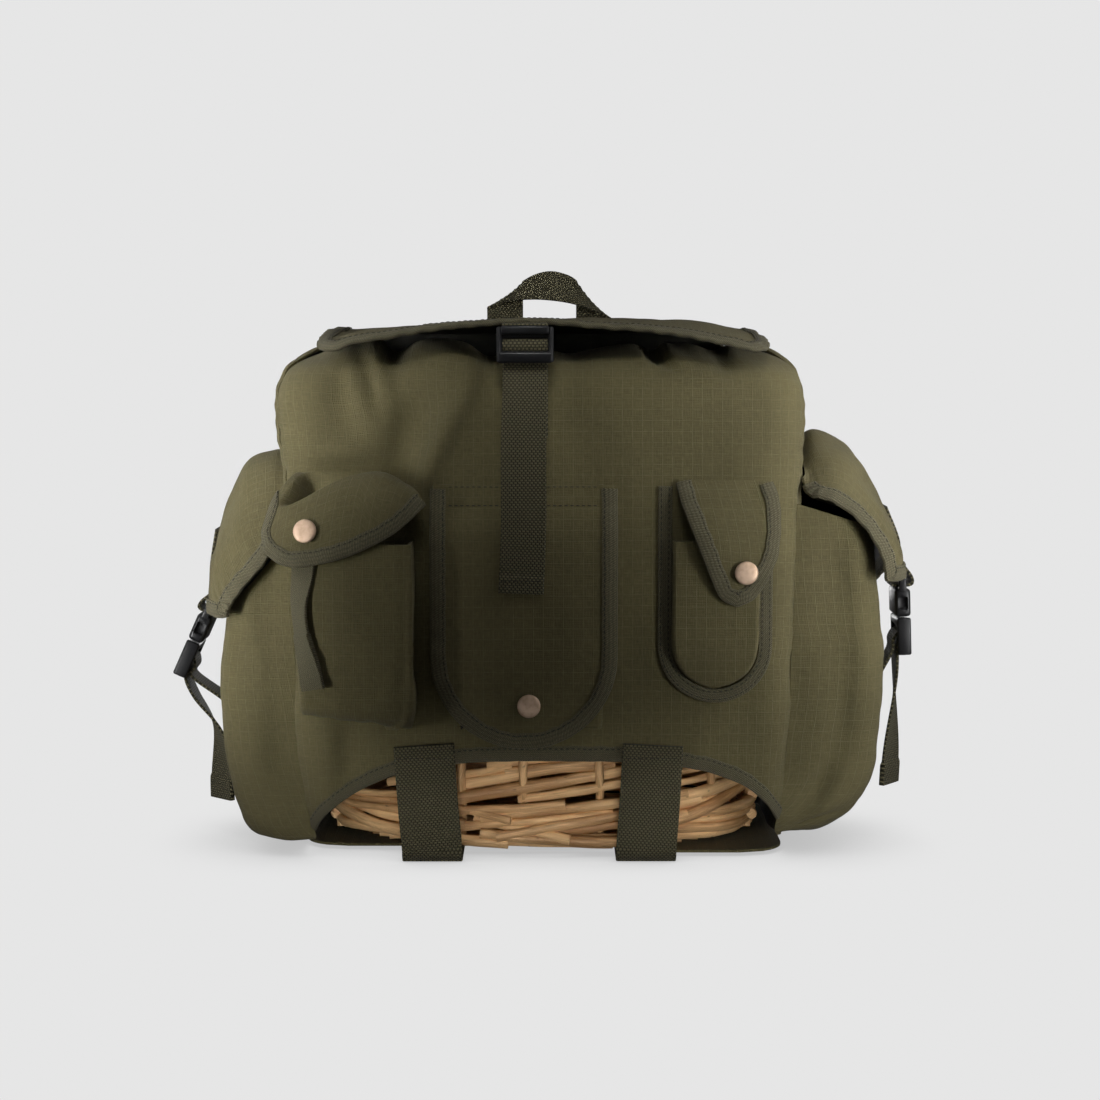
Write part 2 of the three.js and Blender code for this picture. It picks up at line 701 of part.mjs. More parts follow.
function lidPoint(u, v) {
  const { half, back, front, corner, cornerShare } = LID;
  const y = lerp(back, front, v);
  const fromEdge = Math.min(corner, y - front);
  const wide = half - corner + Math.sqrt(corner ** 2 - (corner - fromEdge) ** 2 * cornerShare);
  const s = 2 * u - 1;
  const droop = readColumn(LID_PROFILE, "v", "droop", v) * Math.abs(s) ** LID_DROOP_POWER;
  return vec(s * wide, y, readColumn(LID_PROFILE, "v", "crown", v) - droop);
}

function addLid() {
  const lid = clothWall({ point: lidPoint, columns: 10, rows: 8, side: -1 });
  addPiece("lid", lid.geometry, "canvas");
  addPiece("lid_binding", bindEdge(lid, freeEdge(lid).slice(1, -1)), "tape");
  const at = (out, up) => vec(LOCK.x, LOCK.y - out, LOCK.z + up);
  const lock = lockPlate(LOCK.width, LOCK.thick, LOCK_BARS, at(0, 0), vec(1, 0, 0), vec(0, -1, 0));
  addPiece("ladder_lock", lock, "plastic");
  const sewn = SEAM + WEBBING / 2;
  const overFlap = onFront(LOCK.x, CENTRE_FLAP.straight, CENTRE_FLAP.lift + CANVAS + SEAM * 2 + WEBBING).y;
  const line = [
    ...LID_STRAP_RISE.map(({ z, lift }) => onFront(LOCK.x, z, sewn + lift)),
    ...THREAD.map(({ out, up }) => at(out, up)),
    ...LID_STRAP_TAIL.map(({ z, back }) => vec(LOCK.x, overFlap + back, z)),
  ];
  addPiece("lid_strap", strapAlong(line, vec(1, 0, 0), LID_STRAP_WIDTH, WEBBING), "webbing");
  const bar = (LOCK_BARS[LOCK_TAB_BAR].low + LOCK_BARS[LOCK_TAB_BAR].high) / 2;
  const tab = [
    ...TAB_UNDER_LID.map(({ y, z }) => vec(LOCK.x, y, z)),
    ...TAB_ROUND_BAR.map(({ out, up }) => at(out, bar + up)),
  ];
  addPiece("lock_tab", strapAlong(tab, vec(1, 0, 0), LID_STRAP_WIDTH, TAB_THICK), "webbing");
}

// A plate with bars and slots between them: its middle, the way across it and the way out of it
function lockPlate(width, thick, bars, middle, across, out) {
  const { side, corner, slotCorner } = LOCK_FRAME;
  const [low, high] = [bars[0].low, bars[bars.length - 1].high];
  const outline = roundedRectangle(width / 2, low, high, corner);
  bars.slice(0, -1).forEach((bar, k) => {
    const slot = roundedRectangle(width / 2 - side, bar.high, bars[k + 1].low, slotCorner, THREE.Path);
    outline.holes.push(slot);
  });
  const extrude = { depth: thick, bevelEnabled: false, curveSegments: 1 };
  const geometry = new THREE.ExtrudeGeometry(outline, extrude).translate(0, 0, -thick / 2);
  const up = out.clone().cross(across);
  return geometry.applyMatrix4(new THREE.Matrix4().makeBasis(across, up, out).setPosition(middle));
}

function roundedRectangle(half, low, high, radius, Kind = THREE.Shape) {
  const shape = new Kind();
  shape.moveTo(-half + radius, low);
  shape.absarc(half - radius, low + radius, radius, -Math.PI / 2, 0);
  shape.absarc(half - radius, high - radius, radius, 0, Math.PI / 2);
  shape.absarc(-half + radius, high - radius, radius, Math.PI / 2, Math.PI);
  shape.absarc(-half + radius, low + radius, radius, Math.PI, Math.PI * 1.5);
  return shape;
}

function addHandle() {
  const line = HANDLE_LINE.map(({ x, y, z }) => vec(x, y, z));
  const last = line.length - 1;
  const across = (k) => {
    const turn = Math.PI * smoothstep(k, 1, last - 1);
    return vec(Math.cos(turn), -HANDLE.lean * Math.sin(turn), -Math.sin(turn)).normalize();
  };
  addPiece("grab_handle", strapAlong(line, across, HANDLE.width, WEBBING), "webbing");
}

// A point on the U of a pouch, from one side seam round its front to the other
function pouchStep(half, depth, corner, s) {
  const radius = Math.min(corner, depth * POUCH_ROUNDING);
  const [flat, side, arc] = [half - radius, depth - radius, (radius * Math.PI) / 2];
  const distance = Math.abs(s) * (flat + arc + side);
  const turn = clamp((distance - flat) / radius, 0, Math.PI / 2);
  const along = Math.min(distance, flat) + radius * Math.sin(turn);
  const back = radius * (1 - Math.cos(turn)) + Math.max(0, distance - flat - arc);
  return { along: Math.sign(s) * along, out: depth - back };
}

function frontPouch(rows, { x, corner, slope = 0, lift = SEAM }, columns) {
  const point = (u, v) => {
    const step = pouchStep(readRow(rows, "half", v), readRow(rows, "depth", v), corner, 2 * u - 1);
    const z = readRow(rows, "z", v) - slope * step.along * (1 - v);
    return onFront(x + step.along, z, lift + step.out);
  };
  return clothWall({ point, columns, rows: rows.length - 1 });
}

// A press snap that stands on a cloth wall
function snapOn(cloth, { column, row }) {
  const profile = SNAP_PROFILE.map(({ radius, height }) => new THREE.Vector2(radius, height));
  const face = cloth.outerAt(column, row);
  const normal = face.clone().sub(cloth.innerAt(column, row)).normalize();
  const geometry = new THREE.LatheGeometry(profile, SNAP_SIDES);
  geometry.applyQuaternion(new THREE.Quaternion().setFromUnitVectors(vec(0, 1, 0), normal));
  const seat = face.addScaledVector(normal, SNAP_GAP);
  return geometry.translate(seat.x, seat.y, seat.z);
}

function bellowsFlapPoint(u, v) {
  const lip = (column) => readColumn(BELLOWS_LIP, "share", column, u);
  const hinge = onFront(lerp(BELLOWS_HINGE.left, BELLOWS_HINGE.right, u), lip("hinge"), BELLOWS_HINGE.out);
  const edge = vec(lip("x"), lip("y"), lip("z"));
  const { in: inwards, up } = BELLOWS_SHOULDER;
  const shoulder = vec((hinge.x + edge.x) / 2, edge.y + inwards, hinge.z + up);
  const [near, mid, far] = [(1 - v) ** 2, 2 * v * (1 - v), v * v];
  return hinge.multiplyScalar(near).addScaledVector(shoulder, mid).addScaledVector(edge, far);
}

function addBellowsPocket() {
  const pocket = frontPouch(BELLOWS_ROWS, BELLOWS, 12);
  addPiece("bellows_pocket", pocket.geometry, "canvas");
  const flap = clothWall({ point: bellowsFlapPoint, columns: 11, rows: 6, side: -1 });
  addPiece("bellows_flap", flap.geometry, "canvas");
  addPiece("bellows_binding", bindEdge(flap, freeEdge(flap).slice(1, -1), LOOSE_TAPE_GAP), "tape");
  addPiece("bellows_snap", snapOn(flap, BELLOWS_SNAP), "snap");
  const front = BELLOWS.lift + BELLOWS_ROWS[4].depth + SEAM / 2 + WEBBING / 2;
  const line = PULL_TAB_LINE.map(({ x, z }) => onFront(x, z, front));
  const { leanX, leanZ, leanReach } = PULL_TAB;
  const lean = onFront(leanX + leanReach, leanZ, 0).sub(onFront(leanX - leanReach, leanZ, 0)).normalize();
  addPiece("pull_tab", strapAlong(line, lean, PULL_TAB.width, WEBBING), "webbing");
}

function centreFlapPoint(u, v) {
  const { x, half, top, straight, bottom, lift } = CENTRE_FLAP;
  const { straightShare, liftShare } = CENTRE_FLAP_END;
  const endTurn = degToRad(CENTRE_FLAP_END.turn);
  const turn = endTurn * clamp((v - straightShare) / (1 - straightShare), 0, 1);
  const upper = lerp(top, straight, Math.min(1, v / straightShare));
  const z = upper - ((straight - bottom) * Math.sin(turn)) / Math.sin(endTurn);
  const out = SEAM + CANVAS + lift * smoothstep(v, 0, liftShare);
  return onFront(x + (2 * u - 1) * half * Math.cos(turn), z, out);
}

function addCentrePocket() {
  const pocket = frontPouch(CENTRE_ROWS, CENTRE, 10);
  addPiece("centre_pocket", pocket.geometry, "canvas");
  const flap = clothWall({ point: centreFlapPoint, columns: 6, rows: 8, side: -1 });
  addPiece("centre_flap", flap.geometry, "canvas");
  addPiece("centre_binding", bindEdge(flap, freeEdge(flap).slice(1, -1)), "tape");
  addPiece("centre_snap", snapOn(flap, CENTRE_SNAP), "snap");
}

function sheathFlapPoint(u, v) {
  const [left, right] = [readRow(SHEATH_FLAP_ROWS, "left", v), readRow(SHEATH_FLAP_ROWS, "right", v)];
  const gape = readRow(SHEATH_FLAP_ROWS, "gape", v) * (0.5 - u);
  const out = readRow(SHEATH_FLAP_ROWS, "out", v) + gape;
  return onFront(lerp(left, right, u), readRow(SHEATH_FLAP_ROWS, "z", v), out);
}

function addSheath() {
  const pocket = frontPouch(SHEATH_ROWS, SHEATH, 10);
  addPiece("sheath_pocket", pocket.geometry, "canvas");
  const { half, bend, leftTop, rightTop, bendSteps } = SHEATH_TAPE;
  const out = SEAM + SHEATH.tapeThick / 2;
  const outline = [{ x: SHEATH.x - half, z: leftTop }, { x: SHEATH.x - half, z: (leftTop + bend) / 2 }];
  for (let k = 0; k <= bendSteps; k++) {
    const turn = Math.PI * (k / bendSteps);
    outline.push({ x: SHEATH.x - half * Math.cos(turn), z: bend - half * Math.sin(turn) });
  }
  outline.push({ x: SHEATH.x + half, z: (rightTop + bend) / 2 }, { x: SHEATH.x + half, z: rightTop });
  const line = outline.map(({ x, z }) => onFront(x, z, out));
  const across = (k) => {
    const along = line[Math.min(line.length - 1, k + 1)].clone().sub(line[Math.max(0, k - 1)]);
    const { x, z } = outline[k];
    const face = onFront(x + 1, z, 0).sub(onFront(x - 1, z, 0)).cross(vec(0, 0, 1));
    return along.cross(face).normalize();
  };
  addPiece("sheath_binding", strapAlong(line, across, SHEATH.tapeWidth, SHEATH.tapeThick), "tape");
  const flap = clothWall({ point: sheathFlapPoint, columns: 4, rows: 7, side: -1 });
  addPiece("sheath_flap", flap.geometry, "canvas");
  addPiece("sheath_flap_binding", bindEdge(flap, freeEdge(flap).slice(1, -1)), "tape");
  addPiece("sheath_snap", snapOn(flap, SHEATH_SNAP), "snap");
}

function sidePocketPoint({ side, pocket, mouthDrop }, u, v) {
  const depth = readRow(pocket, "depth", v);
  const step = pouchStep(readRow(pocket, "half", v), depth, SIDE_POCKET.corner, (2 * u - 1) * side);
  const z = readRow(pocket, "z", v) - mouthDrop * (step.out / depth) * smoothstep(v, 0.5, 1);
  return onSide(side, SIDE_POCKET.y + step.along, z, SEAM + step.out);
}

function sideFlapPoint({ side, flap, flapTuck, backDroop }, u, v) {
  const flare = smoothstep(v, 0, SIDE_FLAP.flareShare);
  const front = lerp(SIDE_FLAP.hingeFront, SIDE_FLAP.front, flare);
  const back = lerp(SIDE_FLAP.hingeBack, SIDE_FLAP.back, flare);
  const edge = Math.abs(2 * u - 1) ** SIDE_FLAP.droopPower;
  const droop = readRow(flap, "droop", v) * (u > 0.5 ? backDroop : 1);
  const z = readRow(flap, "z", v) - droop * edge;
  const out = SEAM + CANVAS + readRow(flap, "out", v) - flapTuck * edge * v;
  return onSide(side, lerp(front, back, u), z, out);
}

function addSidePockets() {
  for (const setup of SIDES) {
    const { name, side } = setup;
    const pocket = clothWall({ point: (u, v) => sidePocketPoint(setup, u, v), columns: 12, rows: 7 });
    addPiece(`side_pocket_${name}`, pocket.geometry, "canvas");
    const point = (u, v) => sideFlapPoint(setup, u, v);
    const flap = clothWall({ point, columns: 7, rows: 7, side: -side });
    addPiece(`side_flap_${name}`, flap.geometry, "canvas");
    addPiece(`side_flap_binding_${name}`, bindEdge(flap, freeEdge(flap).slice(1, -1), LOOSE_TAPE_GAP), "tape");
    addSideBuckle(setup);
  }
}

// A fastened side-release buckle between the flap and the pocket, with its webbing
function addSideBuckle(setup) {
  const { name, side, buckle, buckleTilt } = setup;
  const tilt = degToRad(buckleTilt);
  const out = vec(side * Math.cos(tilt), 0, Math.sin(tilt));
  const up = vec(-side * Math.sin(tilt), 0, Math.cos(tilt));
  const middle = vec(side * buckle.out, SIDE_POCKET.y, buckle.z);
  const across = up.clone().cross(out);
  const at = (far, high) => middle.clone().addScaledVector(out, far).addScaledVector(up, high);
  const socket = lockPlate(BUCKLE.width, BUCKLE.socketThick, SOCKET_BARS, middle, across, out);
  addPiece(`buckle_socket_${name}`, socket, "plastic");
  const plug = lockPlate(BUCKLE.width, BUCKLE.plugThick, PLUG_BARS, at(0, BUCKLE.plugMiddle), across, out);
  addPiece(`buckle_plug_${name}`, plug, "plastic");
  const wide = vec(0, 1, 0);
  const sewn = SEAM + WEBBING / 2;
  const overTape = sewn + TAPE_GAP + TAPE + SEAM;
  const flapFace = (v, far) => sideFlapPoint(setup, 0.5, v).add(vec(side * far, 0, 0));
  const upper = [
    flapFace(FLAP_STRAP_SHARES.sewn, sewn + SEAM),
    flapFace(FLAP_STRAP_SHARES.tape, overTape),
    flapFace(FLAP_STRAP_SHARES.lip, overTape),
    ...ROUND_SOCKET_BAR.map((row) => at(row.out, row.up)),
  ];
  addPiece(`flap_strap_${name}`, strapAlong(upper, wide, BUCKLE.webbing, WEBBING), "webbing");
  const pocketFace = (v) => sidePocketPoint(setup, 0.5, v).add(vec(side * sewn, 0, 0));
  const thread = THREAD.map((row) => at(row.out, row.up + BUCKLE.plugMiddle));
  const tail = thread[thread.length - 1];
  const lower = [
    pocketFace(BUCKLE_STRAP_SHARES.foot),
    pocketFace(BUCKLE_STRAP_SHARES.leave),
    ...thread,
    ...setup.tail.map((row) => vec(tail.x - side * row.in, tail.y, tail.z - row.down)),
  ];
  addPiece(`buckle_strap_${name}`, strapAlong(lower, wide, BUCKLE.webbing, WEBBING), "webbing");
}

// Padded shoulder straps, each with a slider and webbing down to the corner of the base
function addShoulderStraps() {
  for (const { name, side } of SIDES) {
    const place = ({ x, y, z }) => vec(side * x, y, z);
    const line = SHOULDER_LINE.map(place);
    addPiece(`shoulder_strap_${name}`, paddedStrap(line), "canvas");
    const lean = degToRad(SLIDER.lean);
    const out = vec(0, Math.cos(lean), -Math.sin(lean));
    const up = vec(0, Math.sin(lean), Math.cos(lean));
    const at = (far, high) => place(SLIDER).addScaledVector(out, far).addScaledVector(up, high);
    const across = up.clone().cross(out);
    const slider = lockPlate(SLIDER.width, SLIDER.thick, SLIDER_BARS, at(0, 0), across, out);
    addPiece(`strap_slider_${name}`, slider, "plastic");
    const end = line[line.length - 1];
    const tip = end.clone().addScaledVector(end.clone().sub(line[line.length - 2]).normalize(), SEAM);
    const threaded = THREAD.slice(3).map((row) => at(row.out, row.up));
    const sewn = SEAM + WEBBING / 2;
    const onBack = ({ x, z, lift }) => vec(side * x, section("back", z) + sewn + lift, z);
    const anchor = SHOULDER_ANCHOR.map(onBack);
    const [under, enter] = [THREAD[9], THREAD[8]];
    const route = [tip, at(under.out, -under.up), at(enter.out, -enter.up), ...threaded, ...anchor];
    const webbing = strapAlong(route, vec(1, 0, 0), SHOULDER_WEBBING_WIDTH, WEBBING);
    addPiece(`shoulder_webbing_${name}`, webbing, "webbing");
  }
}

// A padded strap: flat faces with round edges
function paddedStrap(line) {
  const { width, thick, round } = SHOULDER;
  const rings = line.map((p, k) => {
    const tangent = line[Math.min(line.length - 1, k + 1)].clone().sub(line[Math.max(0, k - 1)]);
    const normal = vec(1, 0, 0).cross(tangent).normalize();
    const [wide, deep] = [width / 2, thick / 2];
    const outline = [
      [wide, deep - round], [wide - round, deep], [round - wide, deep], [-wide, deep - round],
      [-wide, round - deep], [round - wide, -deep], [wide - round, -deep], [wide, round - deep],
    ];
    return outline.map(([far, high]) => p.clone().add(vec(far, 0, 0)).addScaledVector(normal, high));
  });
  return joinRings(rings);
}

addBody();
addBasket();
addBasketStraps();
addLid();
addHandle();
addBellowsPocket();
addCentrePocket();
addSheath();
addSidePockets();
addShoulderStraps();

export default bag;
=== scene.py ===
# Foraging backpack: a ripstop canvas rucksack that carries an open willow basket in its base.
# The tables are in millimetres and the finished pieces in metres, +Z up, with the front towards -Y.
import math

import bpy
import numpy as np
from mathutils import Matrix, Vector, kdtree, noise


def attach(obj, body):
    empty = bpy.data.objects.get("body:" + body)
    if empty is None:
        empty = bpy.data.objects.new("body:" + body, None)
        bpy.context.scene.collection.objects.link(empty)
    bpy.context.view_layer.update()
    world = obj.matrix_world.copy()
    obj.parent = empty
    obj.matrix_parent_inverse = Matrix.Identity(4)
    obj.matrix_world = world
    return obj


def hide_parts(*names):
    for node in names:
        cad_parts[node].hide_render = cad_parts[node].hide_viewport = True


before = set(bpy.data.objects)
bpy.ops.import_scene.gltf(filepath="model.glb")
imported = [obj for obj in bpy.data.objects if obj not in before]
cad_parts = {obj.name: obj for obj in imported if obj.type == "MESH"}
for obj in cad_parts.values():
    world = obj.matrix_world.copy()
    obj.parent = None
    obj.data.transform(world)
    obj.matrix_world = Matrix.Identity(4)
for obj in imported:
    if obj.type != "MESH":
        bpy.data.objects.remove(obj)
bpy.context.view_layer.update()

MM = 0.001
BODY_NAME = "root"

# Cloth, webbing and tape
CANVAS = 1.6
WEBBING = 1.8
TAPE = 0.8
SEAM = 0.5
TAPE_GAP = 0.35
TAPE_LEG = 8

# Sections of the bag from the floor up: height, half width, front, back, corner radius
HALF, FRONT, BACK, CORNER = 1, 2, 3, 4
BODY = [
    (4, 152, -88, 92, 30), (40, 158, -93, 96, 28), (130, 161, -95, 96, 26), (230, 163, -95, 96, 26),
    (285, 165, -93, 96, 28), (305, 163, -88, 96, 30), (316, 157, -78, 96, 32), (322, 147, -64, 96, 34),
    (325, 135, -50, 96, 36),
]
BODY_TOP = 325
BACK_TOP = 332.4
HEM = 4.4
SEAM_SHARE = 0.9985
# The front seams lie on the corners, and turn towards the sides higher up: angle in degrees from z to z
FRONT_SEAM = {"low": 68, "high": 76, "from": 190, "to": 265}
TOP_CROWDING = 1.45
CORNER_CROWDING = 0.4

# Folds of the front panel: middle x and z, length, width, height outwards, lean in degrees
FRONT_FOLDS = [
    (-60, 276, 44, 12, 5, 26), (-86, 262, 36, 12, -4, 10), (-122, 298, 18, 10, -4, 5),
    (16, 284, 40, 16, -3, -6), (104, 280, 50, 42, 3, 0), (62, 140, 70, 14, -2, 0),
]
# Finer folds that the panel alone has
PANEL_FOLDS = [
    (-62, 268, 40, 6, 3.2, 26), (-136, 66, 20, 8, 2.2, 8), (-122, 62, 24, 6, -1.8, -6),
    (135, 132, 26, 9, 2.0, 62), (128, 116, 22, 7, -1.6, 60), (100, 84, 20, 9, 1.6, 30),
    (-120, 270, 30, 14, -1.2, -20), (60, 262, 40, 12, 1.0, 12), (130, 250, 34, 14, 1.2, -12),
    (62, 170, 50, 8, 1.0, -4), (150, 90, 24, 8, 1.5, 12), (-150, 80, 24, 7, 1.2, -10),
    (-93, 306, 22, 8, -3, -8), (-118, 308, 20, 9, 3, -14), (-66, 312, 18, 12, 3, 6),
    (-34, 314, 20, 9, -4, 4), (-108, 302, 20, 6, -5, -16), (-82, 274, 36, 13, -4.5, 18),
    (-128, 259, 9, 26, 6, 0), (70, 320, 12, 3.5, -4, -50), (80, 322, 12, 4, 2, -50),
    (112, 318, 14, 6, -2, -20),
]
# Rise and fall of the panel's upper edge: x, height. It sets in at RIM_START
RIM_RISE = [
    (-140, -3), (-120, 3), (-107, 3.5), (-92, -2.5), (-76, 2), (-50, 2.5), (-33, -3.5), (8, -4), (36, -2),
    (62, 2), (70, -1), (78, 1.5), (98, 0), (140, -2),
]
RIM_START = 298
# Where the left side swells out, above its pocket: height, reach up and down, how far, and from x to x
LEFT_SWELL = {"z": 293, "reach": 32, "out": 4.5, "from": 110, "to": 155}
# Arched window, with a lower part on its right from x to x
WINDOW = {"half": 156, "middle": 8, "foot": 12, "crown": 66, "power": 3.6, "right_drop": 8,
          "drop_from": 118, "drop_to": 152}

# Willow basket
BASKET = {"foot": 139, "rim": 148, "depth": 0.565, "square": 2.5, "height": 100}
STAKE_RADIUS = 2.7
STAKES_AT = (-90, -52, -12.5, 36, 72, 108)
# Rods that show in the window: three places as x and z, radius at each end, depth at each end
FRONT_RODS = [
    (-24, 53, 36, 61, 80, 67, 3.2, 2.6, -4, -3), (-66, 42, -8, 53.5, 46, 59, 4.2, 3.0, -4, -4),
    (-56, 37, 6, 47.2, 66, 57, 4.3, 3.4, 2, -4), (-16, 36, 34, 44, 82, 54, 3.0, 3.2, -3, 4),
    (-138, 26.4, -26, 30.2, 14, 34, 2.4, 3.2, -1, 4), (-40, 24, 6, 30.2, 92, 39, 3.0, 3.4, 1, 3),
    (-66, 33, -40, 27.6, -20.5, 23.6, 2.2, 2.7, -2, 6), (-136, 12.5, -7, 22.2, 44, 28, 3.3, 3.0, 0, 1),
    (-30, 13, 6, 19.2, 100, 35.5, 3.3, 3.6, 6, 2), (-44, 24, -7, 15.8, 17, 11.8, 2.8, 3.6, -2, 7),
    (-2, 14, 36, 18.6, 92, 25.5, 3.0, 3.0, -1, 3), (-138, 23.5, -100, 15.5, -22, 8.6, 4.2, 3.4, -1, 4),
    (-40, 15, 6, 10.6, 64, 8.4, 3.0, 3.6, 5, 4), (-26, 9.6, 10, 8.6, 44, 8.2, 3.2, 3.2, 1, 2),
    (22, 10.6, 44, 10.4, 70, 10.0, 3.8, 3.4, -4, -3), (-140, 34.2, -96, 37, -60, 40, 2.0, 2.6, -3, -4),
    (-140, 30, -92, 32, -60, 33.5, 2.4, 3.0, -5, -3), (-139, 30, -94, 22.4, -50, 20, 2.6, 3.6, -3, 1),
    (-137, 22.4, -92, 13.6, -60, 9.4, 2.8, 3.6, -2, 2), (58, 33, 106, 39.6, 141, 46.5, 4.4, 3.2, 4, -2),
    (52, 29.5, 90, 31.2, 139, 35.2, 3.4, 3.0, 1, -5), (62, 15, 98, 25.4, 140, 42, 3.8, 3.8, 5, -1),
    (70, 26.8, 110, 24.6, 139, 25.2, 3.2, 3.6, -3, 1), (70, 21.4, 106, 19.8, 139, 18.6, 2.8, 3.0, -2, -1),
    (54, 18, 104, 14.6, 138, 12, 3.8, 3.0, 3, -2), (60, 10.8, 96, 10.2, 137, 9.6, 3.4, 2.8, 0, -3),
    (74, 43, 100, 46.2, 124, 49, 2.4, 2.4, -4, -4), (-36, 58, 20, 64, 76, 68, 2.6, 2.6, -5, -5),
    (-100, 44, -66, 49, -20, 57, 3.0, 2.8, -5, -5), (88, 52, 110, 55, 134, 57, 2.6, 2.4, -5, -5),
]
ROD_SIDES = 10
ROD_INSET = 4
# Waver of a rod: how far, and its size; swellings: share of the radius, and length
ROD_WAVER = (0.7, 22)
ROD_SWELLING = (0.06, 9)
# Steps through the noise, and across and along the finish, by the rod's own number
ROD_SHIFT = (1.9, 0.7, 2.3)
ROD_CUT_SHIFT = (37, 211)
WAVER_SEED = 1
# Depth of the stakes behind the window, low down and higher up, from z to z
STAKE_DEPTH = {"low": -11, "high": -3, "from": 26, "to": 46}
STAKE_HEIGHTS = (6.0, 20, 34, 44, 60, 80, 100)
STAKE_SEED = 100
HIDDEN_STAKES = {"count": 11, "first": -6, "step": 19.2, "heights": (2, 30, 65, 96), "seed": 120}
# Level courses: from and to in degrees, steps, count, lowest height, seed
COURSES = [(-10, 190, 60, 14, 5, 50), (212, 328, 40, 5, 66, 80)]
COURSE = {"pitch": 6.6, "over": 3.2, "waves": 9, "radius": 3.3}
FLOOR_RODS = {"count": 17, "first": -64, "pitch": 8, "half": 118, "deep": 74, "z": 7.6, "radius": 2.9,
              "seed": 140}

# Webbing straps across the window: middle at the top and at the bottom
BASKET_STRAPS = [("left", -75, -70), ("right", 69, 65)]
BASKET_STRAP = {"width": 38, "end": 75, "turn": 8, "turn_steps": 4, "back": 84, "hem": 10,
                "ease": 0.5, "row_in": 2}
# The base. Its front edge is tucked back, fully up to tuck_from and no more at tuck_to
BASE_PANEL = {"half": 154, "front": -77, "back": 91, "front_radius": 28, "back_radius": 30, "top": 3.9,
              "tuck": 20, "tuck_from": 60, "tuck_to": 105}

# Lid: half width, back and front, corner; then crown and droop from the hinge to the front edge
LID = {"half": 140, "back": 95, "front": -100, "corner": 18, "corner_share": 0.9, "droop_power": 2.3,
       "sag_from": 0.4}
LID_PROFILE = [(0, 333.1, 0), (0.12, 340, 6), (0.5, 342.5, 9), (0.85, 341.5, 13), (1, 340, 17)]

# How the lid sags and lifts off its plain curve: across the bag, half way forward, and at the front edge
LID_SAG = [
    (-140, 0, 1), (-127, -3, 2), (-113, -3.5, 2.8), (-90, -3.5, 1.6), (-60, -3, 0.2), (0, -1.5, 0),
    (35, -0.5, -0.6), (72, 1.2, -1.4), (100, 2.6, -0.8), (122, 0.5, 0.6), (140, -2, 0.5),
]

# Lid lock and its strap
LOCK = {"x": -11, "y": -106, "z": 325.2, "width": 34.5, "thick": 4, "side": 3}
LOCK_BARS = [(-10.3, -4.7), (-1.5, 1.5), (4.7, 6.5), (9.8, 11.6)]
LID_STRAP_WIDTH = 28
# The strap's upper end: height, rise off the front; its tail: height, set back, set aside
LID_STRAP_RISE = [(268, 0), (288, 0), (300, 3)]
LID_STRAP_TAIL = [(296, 2, 0), (262, 0, -1), (215, 0, -1), (172, 0, -2.6)]
LID_STRAP_HEM = 10
LID_STRAP_ROW_IN = 1.5
# The tab that holds the lock: y and z under the lid, then out and up round its bar
TAB_UNDER_LID = [(-76, 338.3), (-90, 335.5)]
TAB_ROUND_BAR = [(-4, 2.4), (2.2, 2.4), (3.3, 0.3), (2.6, -1.9), (0, -2.5), (-4, -2.1), (-9, -0.5)]
TAB_THICK = 1.4
# A strap threaded over the middle bar of a lock: out of the bag, and up
THREAD = [
    (-7.1, -9), (-6.4, -2), (-3.4, 2.8), (0, 3.1), (2.9, 2.7), (3.7, 0), (2.9, -2.7), (0, -3.1), (-2.8, -3.6),
    (-3.7, -7), (-3.8, -12),
]

# Grab handle: two upright legs, and a band that folds over from one to the other
HANDLE = {"left": -27, "right": 35, "half": 12.5, "foot": 306, "leg_y": 98.4, "band_y": 95, "lean": 0.55,
          "leg_gap": 2}
HANDLE_POINTS = {"band": 40, "leg": 16, "threads": 9, "length": 150}
# Distance from a leg over which the band leaves it
HANDLE_SETTLE = (-4, 10)
# Edges of the band: x, z
HANDLE_LOWER_EDGE = [(-39.5, 350), (-26, 354.5), (-8, 356), (8, 355), (22, 352.5), (36, 347.5), (47.5, 342)]
HANDLE_UPPER_EDGE = [
    (-39.5, 352), (-14.5, 368), (-4, 373.5), (6, 375), (16, 372.5), (22.5, 368.5), (47.5, 344),
]

# Bellows pocket: height, half width and depth from the bottom up
BELLOWS = {"x": -116, "slope": 0.13, "corner": 3.5, "lift": 1.2}
BELLOWS_ROWS = [
    (91, 32, 3), (93, 34, 18), (101, 35, 28), (118, 35.5, 32), (155, 35.5, 32.5), (180, 35.5, 32.5),
    (204, 34.5, 31),
]
BELLOWS_HINGE = {"left": -154, "right": -84, "out": 0.8}
# The flap's front edge at the top sinks on the left: share across the flap, and height over the hinge
BELLOWS_SHOULDER_IN = 2
BELLOWS_SHOULDER = [(0, -4), (0.2, -4), (0.4, 2), (0.55, 5), (0.8, 6), (1, 0)]
# Its hollow: how deep, and the fold it ends at, from the left end to the right as shares across and down
BELLOWS_HOLLOW = {"depth": 15, "left": (0.15, 0.62), "right": (0.72, 0.1), "brink": 0.12,
                  "hinge": 0.1, "left_before": 0.08, "left_after": 0.06}
# Its lower edge: share across the flap, x, y, z, and the height of the hinge above
BELLOWS_LIP = [
    (0, -172.5, -115, 211, 246), (0.13, -169, -124, 200, 247), (0.28, -156, -132, 193, 247),
    (0.45, -137, -136, 194.5, 247), (0.6, -117, -136, 200, 247), (0.8, -91, -132, 213, 246),
    (1, -73, -118, 229, 239),
]
BELLOWS_SNAP = (0.355, 0.8)
# Tab that hangs from the flap: x, z
PULL_TAB_LINE = [(-146, 197), (-147, 186), (-149.5, 168), (-148, 150), (-144, 132), (-141, 115)]
PULL_TAB = {"width": 15, "hem": 34, "twist": 0.9}
# The face it lies on is measured from x to x, at a height
PULL_TAB_FACE = (-147.0, -139.0, 150.0)

